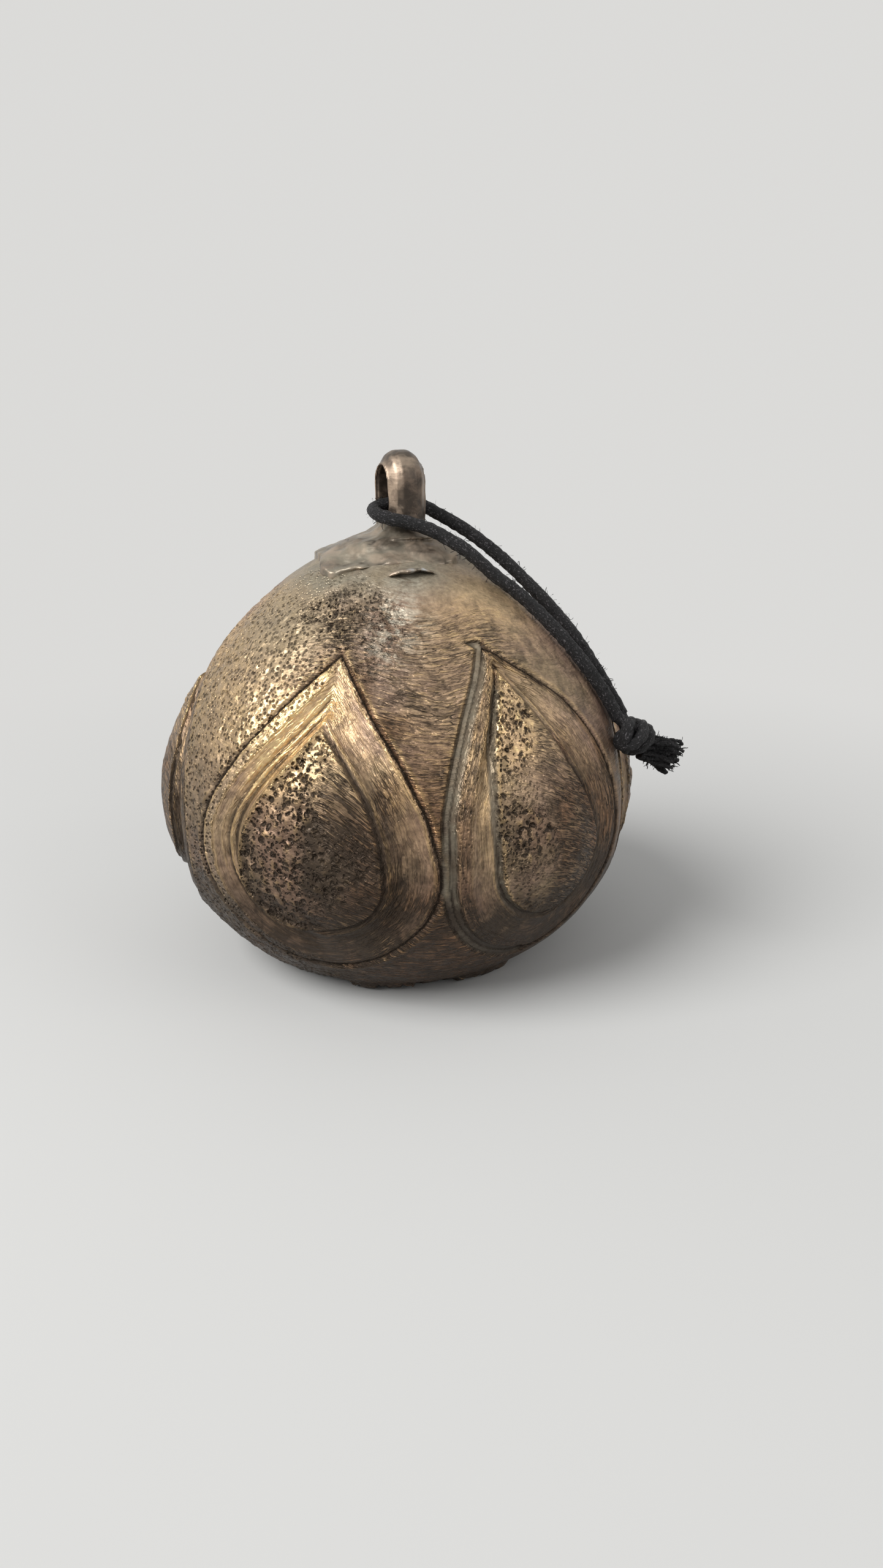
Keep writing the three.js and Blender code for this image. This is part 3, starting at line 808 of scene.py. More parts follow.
def bronze_material():
    """Cast bronze: brown patina, rubbed gold edges, dark hollows, a grey crown, pits and rasp marks, with
    painted highlights on the upper left and painted shade towards the foot and on the right sides.
    """
    colours = bpy.context.scene.bell_finish
    material, shader, n = new_material("bell_bronze")
    at = n.coordinates()
    broad = n.noise(at, 55, 4, 0.6)
    mottle = n.noise(at, 260, 5, 0.65, 0.6)
    speckle = n.noise(at, 1000, 3, 0.6)
    gold, dark, proudness = n.attribute("gold"), n.attribute("dark"), n.attribute("proudness")
    rasp, grit = n.attribute("rasp"), n.attribute("grit")
    flow = n.attribute("flow", "Vector")
    streak = n.noise(flow, 0.85, 2, 0.5, 0.5)
    fine_streak = n.noise(flow, 1.7, 2, 0.6, 0.3)
    away = n.math("ABSOLUTE", n.math("SUBTRACT", streak, 0.5))
    scored = n.times(n.remap(away, 0.06, 0.01), n.remap(broad, 0.6, 0.45, 0.4, 1.0))
    scored = n.times(scored, rasp)
    holes = n.cells(at, 1150)
    pits = n.attribute("pits")
    stirred = n.warp(at, 700, 0.0016)
    large = n.times(n.remap(n.cells(stirred, 620), 0.5, 0.14), n.remap(mottle, 0.4, 0.5))
    small = n.times(n.remap(n.cells(stirred, 1250), 0.46, 0.12), n.remap(mottle, 0.62, 0.46))
    sunk = n.times(n.math("MAXIMUM", large, small), pits)
    tint = n.plus(broad, n.times(mottle, 0.7))

    body = n.mix(n.remap(mottle, 0.32, 0.7), shade(colours.brown, 0.6), shade(colours.brown, 1.5))
    body = n.mix(n.times(n.remap(broad, 0.45, 0.62), 0.65), body, (0.285, 0.185, 0.155))
    body = n.mix(n.times(n.remap(broad, 0.5, 0.36), 0.35), body, (0.36, 0.28, 0.15))
    # Rubbed bronze where the gold mask lies, which also holds painted highlights on the upper left. On convex
    # edges and on the rasp scratches' tops the brightening is partly rubbed metal, partly painted glints.
    shine = n.times(gold, n.remap(tint, 0.66, 1.05, 0.3, 1.0))
    shine = n.times(shine, n.remap(fine_streak, 0.3, 0.65, 0.6, 1.1))
    shine = n.plus(shine, n.remap(proudness, 0.04, 0.25, 0, 0.6))
    shine = n.plus(shine, n.times(rasp, n.remap(fine_streak, 0.54, 0.72, 0, 0.4)))
    body = n.mix(n.math("MINIMUM", shine, 1.0), body, colours.gold)
    rust = n.times(n.remap(dark, 0.15, 0.7), n.remap(broad, 0.4, 0.55, 0.35, 0.8))
    rust = n.times(rust, n.remap(rasp, 0.1, 0.9, 0.35, 1.0))
    body = n.mix(rust, body, (0.27, 0.14, 0.07))
    film = n.times(n.attribute("grey"), n.remap(n.plus(mottle, broad), 0.7, 1.2, 0.45, 1.0))
    body = n.mix(n.math("MINIMUM", film, 0.9), body, colours.grey)
    # The dark colour: real patina and dirt in the hollows, pits, cracks and scratches, and painted shade
    # where the dark mask darkens the foot and the petals' right sides.
    soot_and_shade = n.times(dark, n.remap(n.plus(mottle, broad), 0.75, 1.2, 1.0, 0.65))
    # The tops of the rasp scratches take less of the dark: partly rubbed metal, partly painted glints.
    rubbed_and_highlit = n.times(rasp, n.remap(fine_streak, 0.5, 0.66, 0, 0.5))
    soot_and_shade = n.times(soot_and_shade, n.math("SUBTRACT", 1.0, rubbed_and_highlit))
    soot_and_shade = n.plus(soot_and_shade, n.remap(proudness, -0.05, -0.3, 0, 0.6))
    soot_and_shade = n.plus(soot_and_shade, n.times(sunk, 0.95))
    soot_and_shade = n.plus(soot_and_shade, n.times(rasp, n.remap(n.plus(streak, fine_streak), 0.92, 0.72, 0, 0.5)))
    soot_and_shade = n.plus(soot_and_shade, n.times(scored, 0.75))
    soot_and_shade = n.plus(soot_and_shade, n.times(grit, n.remap(holes, 0.36, 0.12, 0, 0.6)))
    body = n.mix(n.math("MINIMUM", soot_and_shade, 0.95), body, colours.dark)
    dry = n.remap(n.plus(mottle, n.times(streak, 0.6)), 0.72, 0.95)
    body = n.mix(n.math("MINIMUM", n.times(n.attribute("chalk"), dry), 0.7), body, colours.chalk)
    body = n.mix(0.72, body, n.mix(speckle, (0.15, 0.15, 0.15), (0.98, 0.97, 0.95)), "OVERLAY")

    gloss = n.plus(mottle, n.times(gold, -0.15))
    skin = n.bump(speckle, 0.00016, 0.7)
    skin = n.bump(n.times(n.remap(holes, 0.08, 0.5), grit), 0.0007, normal=skin)
    skin = n.bump(n.times(sunk, -1.0), 0.0011, normal=skin)
    skin = n.bump(n.times(streak, rasp), 0.0011, normal=skin)
    skin = n.bump(n.times(scored, -1.0), 0.0003, normal=skin)
    skin = n.bump(n.times(fine_streak, n.plus(rasp, 0.2)), 0.00055, 0.9, normal=skin)
    n.fill(shader, {
        "Base Color": body, "Metallic": n.remap(shine, 0.0, 0.9, 0.5, 0.9), "Specular IOR Level": 0.2,
        "Roughness": n.remap(gloss, 0.2, 0.7, 0.27, 0.52), "Normal": skin,
    })
    return material


def loop_material():
    """The loop and its pad: greyer bronze with painted highlights and painted shade on the loop's facets,
    rubbed patches on the pad and bright solder under a lip.
    """
    colours = bpy.context.scene.bell_finish
    material, shader, n = new_material("loop_bronze")
    at = n.coordinates()
    mottle = n.noise(at, 330, 5, 0.62, 0.5)
    broad = n.noise(at, 110, 3, 0.55)
    chatter = n.noise(n.scaled(at, (0.25, 0.25, 2.2)), 900, 2, 0.5)
    proudness = n.attribute("proudness")
    # The gold mask: painted highlights on the loop's facets that face the key lamp, and real rubbed patches
    # on the pad.
    rubbed_and_highlit = n.attribute("gold")
    body = n.mix(n.remap(mottle, 0.32, 0.7), (0.085, 0.06, 0.044), (0.23, 0.165, 0.12))
    body = n.mix(n.times(n.attribute("grey"), n.remap(broad, 0.35, 0.6, 0.45, 1)), body, colours.grey)
    shine = n.times(rubbed_and_highlit, n.remap(mottle, 0.35, 0.6, 0.4, 1))
    shine = n.plus(shine, n.remap(proudness, 0.04, 0.2, 0, 0.4))
    body = n.mix(n.math("MINIMUM", shine, 0.9), body, (0.44, 0.33, 0.24))
    # The dark mask: painted shade on the loop's front facet, in its opening and under the lifted lip, besides
    # real dirt in the pad's creases; dark patina in hollows is added below.
    soot_and_shade = n.times(n.attribute("dark"), n.remap(mottle, 0.65, 0.4, 0.55, 1))
    soot_and_shade = n.plus(soot_and_shade, n.remap(proudness, -0.02, -0.18, 0, 0.9))
    body = n.mix(n.math("MINIMUM", soot_and_shade, 0.93), body, colours.dark)
    body = n.mix(n.attribute("solder"), body, colours.solder)
    skin = n.bump(chatter, 0.00008, 0.6, normal=n.bump(mottle, 0.00014, 0.5))
    n.fill(shader, {
        "Base Color": body, "Metallic": 0.5, "Roughness": n.remap(mottle, 0.3, 0.7, 0.3, 0.5), "Normal": skin,
    })
    return material


def iron_material(name, rustiness):
    colours = bpy.context.scene.bell_finish
    material, shader, n = new_material(name)
    at = n.coordinates()
    scale = n.noise(at, 420, 5, 0.65, 0.4)
    fine = n.noise(at, 1900, 3, 0.6)
    proudness = n.attribute("proudness")
    body = n.mix(scale, shade(colours.iron, 0.7), shade(colours.iron, 1.5))
    body = n.mix(n.times(n.remap(scale, 0.5, 0.68), rustiness), body, colours.rust)
    body = n.mix(n.remap(proudness, 0.01, 0.08, 0, 0.6), body, (0.2, 0.18, 0.165))
    skin = n.bump(fine, 0.00008, 0.5, normal=n.bump(scale, 0.0003, 0.7))
    n.fill(shader, {
        "Base Color": body, "Metallic": 0.8,
        "Roughness": n.remap(scale, 0.3, 0.7, 0.45, 0.75), "Normal": skin,
    })
    return material


def cotton_material():
    """Black waxed cotton: pale flecks along the twist, partly dust and partly painted highlights, painted
    shade in the hollows and a faint wax sheen.
    """
    colours = bpy.context.scene.bell_finish
    material, shader, n = new_material("waxed_cotton")
    thread = n.attribute("thread", "Vector")
    fibre = n.noise(n.scaled(thread, (5, 5, 1.6)), 1.0, 3, 0.65, 0.5)
    fluff = n.noise(n.coordinates(), 1900, 4, 0.75)
    hollow = n.attribute("proudness")
    dust_and_glint = n.remap(n.plus(fibre, n.times(fluff, 0.8)), 0.96, 1.1)
    body = n.mix(dust_and_glint, colours.cotton, colours.fray)
    # Painted shade in the hollows between the yarns and under the knot's wraps.
    body = n.mix(n.remap(hollow, 0, -0.08, 0, 0.7), body, (0.004, 0.004, 0.004))
    n.fill(shader, {
        "Base Color": body, "Roughness": n.remap(fluff, 0.35, 0.65, 0.42, 0.8), "Specular IOR Level": 0.3,
        "Sheen Weight": 0.04, "Sheen Roughness": 0.45,
        "Normal": n.bump(fluff, 0.0006, 0.9, normal=n.bump(fibre, 0.0006)),
    })
    return material


# Body

# Ways under 0 mark what isn't the outside
INSIDE, RIM = -2.0, -1.0
# The finished body is thinned to this many triangles
FINE_TRIANGLES = 190000


def spun(name, profile, steps, ways):
    """A closed shell: [radius, height] points spun about the upright axis. ways are kept as an attribute."""
    points = [(r * MM, 0, z * MM) for r, z in profile]
    piece = mesh_piece(name, points, [(i, i + 1) for i in range(len(points) - 1)])
    set_values(piece, "way", ways)
    edit_all()
    bpy.ops.mesh.spin(steps=steps, angle=2 * math.pi, center=(0, 0, 0), axis=(0, 0, 1))
    close_edit(0.000002)
    return piece


def attribute_values(piece, name):
    values = np.empty(len(piece.data.vertices), dtype=np.float32)
    piece.data.attributes[name].data.foreach_get("value", values)
    return values.astype(float)


class BELL_OT_shell(bpy.types.Operator):
    """Casts the body: carved petals, pits, rasp marks, a broken rim and a rough inside"""

    bl_idname = "bell.shell"
    bl_label = "Body"

    def execute(self, context):
        sizes = context.scene.bell_body
        segments, rows, cuts = 60, 25, 13
        outside = outline_points(sizes.radius / MM, sizes.mouth_radius / MM, sizes.crown_height / MM, rows)
        inner_radius = (sizes.radius - sizes.wall) / MM
        inner_crown = (sizes.crown_height - sizes.crown_wall) / MM
        inside = outline_points(inner_radius, sizes.bore_radius / MM, inner_crown, rows)
        rim = [[r, 0] for r in np.linspace(sizes.bore_radius / MM, sizes.mouth_radius / MM, 4)[1:-1]]
        surface = Surface()
        ways = [np.full(len(inside), INSIDE), np.full(len(rim), RIM), np.linspace(0, surface.way[-1], rows)]
        shell = spun("bell_body", np.vstack([inside[::-1], rim, outside]), segments, np.concatenate(ways))
        self.refine(shell, lambda way: way >= 0, cuts)
        self.refine(shell, lambda way: way < 0, 2)

        points = places(shell)
        way = attribute_values(shell, "way")
        out = way >= 0
        turn = np.arctan2(points[:, 1], points[:, 0])
        radius, height, lean = surface.at(way[out])
        points[out] = np.stack([radius * np.cos(turn[out]), radius * np.sin(turn[out]), height], axis=1)
        skin = Skin(points[out], way[out], surface)
        push = np.stack([lean[:, 0] * np.cos(turn[out]), lean[:, 0] * np.sin(turn[out]), lean[:, 1]], axis=1)
        points[out] += push * skin.relief[:, None]
        wall = way < (INSIDE + RIM) / 2
        rough_wall = 0.35 * rough(points[wall], 7, 3, 30)
        inward = points[wall] * [1, 1, 0]
        inward /= np.maximum(np.linalg.norm(inward, axis=1), 1)[:, None]
        points[wall] += inward * (rough_wall * smooth(points[wall][:, 2], 1, 12))[:, None]
        points[:, 2] = np.maximum(points[:, 2], 0)
        chips = self.chips(np.degrees(turn), points) * sizes.chips / MM
        points[:, 2] += chips * smooth(points[:, 2], 4.5, 0.3)
        set_places(shell, points)

        # The materials read this for dark patina in hollows, worn edges that are partly painted glints, and
        # the cotton's painted shade.
        # A finer mesh takes more rounds to compare a vertex with the same stretch around it
        set_values(shell, "proudness", worn_edges(shell, round(3 * (cuts / 8) ** 2)))
        for name in ("grit", "rasp", "gold", "dark", "grey", "chalk", "pits"):
            values = np.full(len(points), {"grit": 0.5, "dark": 0.75}.get(name, 0), dtype=float)
            values[out] = getattr(skin, name)
            set_values(shell, name, values)
        flow = points * 0.3
        flow[out] = skin.flow
        set_values(shell, "flow", flow)
        triangles = sum(len(face.vertices) - 2 for face in shell.data.polygons)
        apply_modifier(shell, "DECIMATE", ratio=FINE_TRIANGLES / triangles)
        finish_piece(shell, bronze_material(), "bell_bronze", "root", "bell_shell")
        return {"FINISHED"}

    @staticmethod
    def refine(shell, wanted, cuts):
        """Subdivides the faces whose corners all have a wanted way."""
        chosen = wanted(attribute_values(shell, "way"))
        only(shell)
        bpy.ops.object.mode_set(mode="EDIT")
        bpy.ops.mesh.select_mode(type="FACE")
        bpy.ops.mesh.select_all(action="DESELECT")
        bpy.ops.object.mode_set(mode="OBJECT")
        picks = [all(chosen[i] for i in face.vertices) for face in shell.data.polygons]
        shell.data.polygons.foreach_set("select", picks)
        bpy.ops.object.mode_set(mode="EDIT")
        bpy.ops.mesh.subdivide(number_cuts=cuts)
        bpy.ops.object.mode_set(mode="OBJECT")

    @staticmethod
    def chips(turn, points):
        """How deep the rim is broken at each turn, from 0 to 1."""
        ring = np.stack([np.cos(turn * PER_DEGREE) * 32, np.sin(turn * PER_DEGREE) * 32, 0 * turn], axis=1)
        wide = smooth(waves(ring, 7, 50), 0.05, 0.2)
        narrow = smooth(waves(ring, 2.6, 51), 0.2, 0.35)
        return np.clip(0.6 * wide + 0.4 * narrow, 0, 1) * (0.7 + 0.3 * waves(points, 1.5, 52))


# Loop and pad

class BELL_OT_crown_loop(bpy.types.Operator):
    """Casts the thick loop and the squarish pad that it stands on"""

    bl_idname = "bell.crown_loop"
    bl_label = "Crown loop"

    def execute(self, context):
        sizes = context.scene.bell_loop
        surface = Surface()
        solid = [self.pad(sizes, surface), self.arch(sizes), self.foot(sizes, surface)]
        loop = join("cast_loop", [*solid, *self.lips(surface)])
        voxel = 0.00026
        apply_modifier(loop, "REMESH", mode="VOXEL", voxel_size=voxel, adaptivity=0.0)
        apply_modifier(loop, "SMOOTH", factor=0.5, iterations=4)
        self.weather(loop)
        finish_piece(loop, loop_material(), "loop_bronze", "root", "crown_loop")
        return {"FINISHED"}

    @staticmethod
    def pad(sizes, surface):
        """A rounded square laid over the crown, its edges rising in burrs and its front thin."""
        cuts = 40
        bpy.ops.mesh.primitive_grid_add(x_subdivisions=cuts, y_subdivisions=cuts, size=1)
        pad = bpy.context.object
        edit_all()
        bpy.ops.mesh.extrude_region_move(TRANSFORM_OT_translate={"value": (0, 0, 1)})
        close_edit()
        points = places(pad) * MM
        top = points[:, 2] > 0.5
        square = 2 * points[:, :2]
        reach = np.max(np.abs(square), axis=1)
        bend = (np.abs(square[:, 0]) ** 5 + np.abs(square[:, 1]) ** 5) ** 0.2
        half = sizes.pad_side / 2 / MM
        ragged = 1 + 0.035 * rough(square * [12, 12] @ np.eye(2, 3), 4, 3, 62)
        flat = square * (np.where(bend > 0, reach / np.maximum(bend, 1e-6), 1) * half * ragged)[:, None]
        edge = (reach - 1) * half
        turn = sizes.pad_turn
        spin = np.array([[math.cos(turn), math.sin(turn)], [-math.sin(turn), math.cos(turn)]])
        flat = flat @ spin + [-2.3, -0.5]
        away = np.linalg.norm(flat, axis=1)
        there = np.column_stack([flat, np.zeros(len(flat))])
        rise = sizes.pad_rise / MM * (0.85 + 0.12 * waves(there, 6, 60))
        rise += 0.45 * rib(edge + 1.4, 1.5) * waves(there, 5, 61)
        front = smooth(flat[:, 1], -9, -14) * smooth(flat[:, 0], -15, -9)
        rise -= front * (1.55 + 0.3 * waves(there, 3, 63))
        rise += 1.1 * np.exp(-((flat[:, 0] - 1.2) ** 2 + flat[:, 1] ** 2) / 58)
        points = np.column_stack([flat, surface.height_at(away) + np.where(top, rise, -0.6)])
        set_places(pad, points)
        return pad

    @staticmethod
    def arch(sizes):
        """The arch: a chamfered section drawn up one limb, spun over the top and drawn down the other."""
        outer, inner = sizes.width / 2, sizes.opening / 2
        deep = sizes.thickness / 2
        hole_cut, wide_cut, narrow_cut = 0.0009, 0.0032, 0.0009
        half = [(inner, deep - hole_cut), (inner + hole_cut * 0.7, deep), (outer - wide_cut, deep)]
        half += [(outer - narrow_cut, deep - wide_cut / 2), (outer, deep - wide_cut)]
        section = half + [(x, -y) for x, y in reversed(half)]
        # The limbs reach down far enough to end inside the foot and the pad
        limb = 0.0065
        root = LOOP_HIGH.z - sizes.width - limb
        spring = LOOP_HIGH.z - outer
        arch = mesh_piece("arch", [(x, y, root) for x, y in section], faces=[tuple(range(len(section)))])
        edit_all()
        bpy.ops.mesh.extrude_region_move(TRANSFORM_OT_translate={"value": (0, 0, spring - root)})
        bpy.ops.mesh.spin(steps=16, angle=math.pi, center=(0, 0, spring), axis=(0, 1, 0))
        bpy.ops.mesh.extrude_region_move(TRANSFORM_OT_translate={"value": (0, 0, root - spring)})
        close_edit(0.00001)
        return BELL_OT_crown_loop.stand(arch, sizes)

    @staticmethod
    def stand(piece, sizes):
        """Turns a piece the loop's way and moves it to the loop's middle."""
        piece.rotation_euler.z = sizes.turn - math.pi / 2
        piece.location.x = sizes.centre
        set_in_place(piece)
        return piece

    @staticmethod
    def foot(sizes, surface):
        """The flare where the limbs run into the pad, with the floor of the opening."""
        bpy.ops.mesh.primitive_cone_add(vertices=40, radius1=1, radius2=1, depth=1)
        foot = bpy.context.object
        subdivide_all(5)
        points = places(foot) * MM
        up = points[:, 2] + 0.5
        flare = 1 + 0.55 * (1 - up) ** 2.2
        long_half, deep_half = sizes.width / 2 / MM - 0.1, sizes.thickness / 2 / MM + 0.1
        points[:, 0] *= long_half * flare
        points[:, 1] *= deep_half * (1 + 0.85 * (1 - up) ** 2.2)
        low = surface.height_at(np.zeros(1))[0] + 0.6
        points[:, 2] = low + up * (sizes.opening_bottom / MM - low)
        set_places(foot, points)
        return BELL_OT_crown_loop.stand(foot, sizes)

    @staticmethod
    def lips(surface):
        """Two torn flaps along the pad's front edge. The right one lifts off the crown over a slot, which
        weather() paints dark as shade.
        """
        made = []
        for start, end, lift in (((-15.6, -15.6), (-5.0, -17.7), 0.35), ((-0.4, -21.6), (9.4, -18.7), 1.35)):
            start, end = np.array(start), np.array(end)
            along = unit(end - start)
            inwards = np.array([-along[1], along[0]])
            sections, steps, corners = [], 17, 8
            half_width, half_thick = 1.75, 0.55
            for share in np.linspace(0, 1, steps):
                tear = 0.3 * math.sin(11 * share) + 0.22 * math.sin(27 * share + 1)
                tear += 0.12 * math.sin(61 * share)
                swell = max(math.sin(math.pi * share), 0.02) ** 0.35
                middle = start + (end - start) * share + inwards * (1.2 + 0.5 * tear)
                ground = surface.height_at(np.array([np.linalg.norm(middle)]))[0]
                for k in range(corners):
                    turn = 2 * math.pi * k / corners
                    across = half_width * math.cos(turn) * swell
                    up = (half_thick + 0.15 * tear) * math.sin(turn) * swell
                    raised = lift * swell * (0.5 + across / (2 * half_width)) - 0.28 * across
                    sections.append((*(middle - inwards * across), ground + raised + up))
            lip = mesh_piece("lip", np.array(sections) * MM, faces=ring_faces(steps, corners))
            edit_all()
            close_edit()
            made.append(lip)
        return made

    @staticmethod
    def weather(loop):
        """Dents and grain of the casting, and the masks of its material, among them painted highlights and
        painted shade that follow the way each facet faces.
        """
        points = places(loop)
        across = points - [1.2, 0, 0]
        on_arch = smooth(points[:, 2], 100, 103)
        dents = 0.16 * waves(points, 5, 70) + 0.07 * waves(points, 2.2, 71)
        pad_grain = 0.2 * rough(points, 3.2, 3, 72)
        points = points + normals(loop) * (on_arch * dents + (1 - on_arch) * pad_grain)[:, None]
        set_places(loop, points)
        set_values(loop, "proudness", worn_edges(loop, 4))
        turn = bpy.context.scene.bell_loop.turn
        hole_axis = np.array([-math.cos(turn), -math.sin(turn)])
        near_limb = np.array([math.sin(turn), -math.cos(turn)])
        through, outward = across[:, :2] @ hole_axis, across[:, :2] @ near_limb
        facing = normals(loop)
        to_left, to_front = facing[:, :2] @ hole_axis, facing[:, :2] @ near_limb
        # Painted highlights on the facets that face left and up towards the key lamp, weaker on the right
        # facet; painted shade on the front facet that faces the camera.
        left_facet = smooth(to_left, 0.3, 0.55) * smooth(to_front, 0.3, 0.5)
        right_facet = smooth(-to_left, 0.45, 0.65) * smooth(to_front, 0.3, 0.5)
        right_facet = right_facet * rib(points[:, 2] - 107.5, 3.2)
        front_facet = smooth(to_front, 0.75, 0.92) * smooth(points[:, 2], 114, 111)
        top = smooth(facing[:, 2], 0.25, 0.8)
        patchy = waves(points, 3.5, 75)
        rubbed_and_highlit = on_arch * np.clip(left_facet + 0.6 * right_facet + 0.3 * top, 0, 1)
        set_values(loop, "gold", rubbed_and_highlit + (1 - on_arch) * 0.5 * smooth(patchy, -0.1, 0.6))
        on_pad = 1 - on_arch
        middle = 0.6 * on_pad * np.exp(-(((points[:, 0] - 1) / 5) ** 2) - ((points[:, 1] + 10) / 4) ** 2)
        creases = on_pad * notch(rough(points * [0.6, 1, 1], 5, 3, 76), 0.16) * smooth(patchy, 0.5, -0.3)
        foot = smooth(points[:, 2] + 0.5 * patchy, 107, 104) * smooth(outward, 2, 5) * on_arch
        # Painted shade in the loop's opening and, where the surface faces down, under the lifted right lip.
        hole = smooth(np.abs(through), 4.3, 3.4) * smooth(np.abs(outward), 4.6, 3.7) * on_arch
        slot = rib(points[:, 0] - 4, 5.5) * smooth(points[:, 1], -17.2, -18.4)
        slot = slot * smooth(facing[:, 2], 0.1, -0.4)
        dark = foot + 0.9 * front_facet * on_arch + 0.8 * hole + slot + 0.9 * creases + middle
        set_values(loop, "dark", np.clip(dark, 0, 1))
        set_values(loop, "grey", (1 - on_arch) * np.clip(0.75 + 0.5 * patchy, 0, 1) + 0.4 * top * on_arch)
        shine = smooth(np.hypot((points[:, 0] - 5) * 0.6, points[:, 1] + 19.6), 1.8, 0.8)
        set_values(loop, "solder", np.clip(shine * (0.3 + 1.2 * waves(points, 1.4, 77)), 0, 0.7))


# Cord. The route runs from the knot over the front of the shoulder, round the loop's near limb and back

CORD_ROUTE = [
    (0.0502, -0.0162, 0.0589), (0.0471, -0.0159, 0.0643), (0.0437, -0.0158, 0.0693),
    (0.0388, -0.0154, 0.0754), (0.0336, -0.0144, 0.0808), (0.0282, -0.0133, 0.0858),
    (0.0222, -0.0126, 0.0903), (0.0165, -0.0121, 0.0952), (0.0115, -0.0107, 0.0982),
    (0.0075, -0.0095, 0.1), (0.0035, -0.0092, 0.1012), (-0.0006, -0.0091, 0.1021),
    (-0.0038, -0.007, 0.103), (-0.0045, -0.0034, 0.1038), (-0.0021, -0.0001, 0.1044),
    (0.0018, 0.0015, 0.1044), (0.0058, 0.0024, 0.1041), (0.0108, 0.0025, 0.1016),
    (0.0154, 0.0023, 0.099), (0.0198, 0.0019, 0.096), (0.0248, 0.0012, 0.092),
    (0.0302, -0.0006, 0.0871), (0.0353, -0.0032, 0.0821), (0.0409, -0.0073, 0.0757),
    (0.0453, -0.0098, 0.0693), (0.049, -0.011, 0.0634), (0.0517, -0.0117, 0.0587),
]

# The two ends past the knot
UPPER_TAIL = [
    (0.0562, -0.0155, 0.0537), (0.0592, -0.0139, 0.0524), (0.0624, -0.0128, 0.0513),
    (0.0657, -0.0121, 0.0496),
]
LOWER_TAIL = [
    (0.0560, -0.0158, 0.0512), (0.0585, -0.0142, 0.0496), (0.0613, -0.0130, 0.0482),
    (0.0640, -0.0122, 0.0462),
]


def curve_through(route, spacing):
    """Evenly spaced points in metres on a smooth centripetal curve through the route."""
    knots = [np.array(p, dtype=float) for p in route]
    knots = [2 * knots[0] - knots[1], *knots, 2 * knots[-1] - knots[-2]]
    samples = []
    for p0, p1, p2, p3 in zip(knots, knots[1:], knots[2:], knots[3:]):
        t0 = 0.0
        t1 = t0 + np.linalg.norm(p1 - p0) ** 0.5
        t2 = t1 + np.linalg.norm(p2 - p1) ** 0.5
        t3 = t2 + np.linalg.norm(p3 - p2) ** 0.5
        for t in np.linspace(t1, t2, 16, endpoint=False):
            a1 = p0 * (t1 - t) / (t1 - t0) + p1 * (t - t0) / (t1 - t0)
            a2 = p1 * (t2 - t) / (t2 - t1) + p2 * (t - t1) / (t2 - t1)
            a3 = p2 * (t3 - t) / (t3 - t2) + p3 * (t - t2) / (t3 - t2)
            b1 = a1 * (t2 - t) / (t2 - t0) + a2 * (t - t0) / (t2 - t0)
            b2 = a2 * (t3 - t) / (t3 - t1) + a3 * (t - t1) / (t3 - t1)
            samples.append(b1 * (t2 - t) / (t2 - t1) + b2 * (t - t1) / (t2 - t1))
    samples = np.array([*samples, knots[-2]])
    way = ways_along(samples)
    count = max(4, round(way[-1] / spacing) + 1)
    return read_off(np.linspace(0, way[-1], count), way, samples)


def tube_parts(centres, radius_at, sides, first=0):
    """Vertices, faces and each vertex's turn and way for a tube whose radius depends on turn and way."""
    tangents = np.gradient(centres, axis=0)
    tangents /= np.linalg.norm(tangents, axis=1)[:, None]
    side = unit(np.cross(tangents[0], (0.3, 0.2, 1.0)))
    vertices, turns, ways = [], [], []
    way = 0.0
    for i, (centre, tangent) in enumerate(zip(centres, tangents)):
        side = unit(side - tangent * np.dot(side, tangent))
        up = np.cross(tangent, side)
        if i:
            way += np.linalg.norm(centre - centres[i - 1])
        for k in range(sides):
            turn = 2 * math.pi * k / sides
            reach = radius_at(turn, way)
            vertices.append(centre + reach * (math.cos(turn) * side + math.sin(turn) * up))
            turns.append(turn)
            ways.append(way)
    return vertices, ring_faces(len(centres), sides, first), turns, ways


def tubes(name, runs):
    """One mesh of several tubes, each (centres, radius_at, sides), with a thread vector for the cotton."""
    vertices, faces, threads = [], [], []
    for centres, radius_at, sides in runs:
        v, f, turns, ways = tube_parts(centres, radius_at, sides, len(vertices))
        vertices += v
        faces += f
        offset = len(threads) * 0.37
        threads += [(math.cos(t) + offset, math.sin(t), w / MM) for t, w in zip(turns, ways)]
    piece = mesh_piece(name, vertices, faces=faces)
    set_values(piece, "thread", np.array(threads))
    return piece


def lobed(radius, yarns, lay, depth=0.1, phase=0.0):
    """Radius of a cord of twisted yarns at a turn and way."""
    def reach(turn, way):
        wave = abs(math.cos(yarns / 2 * (turn - 2 * math.pi * way / lay) + phase))
        return radius * (1 - depth + depth * wave**0.7)
    return reach


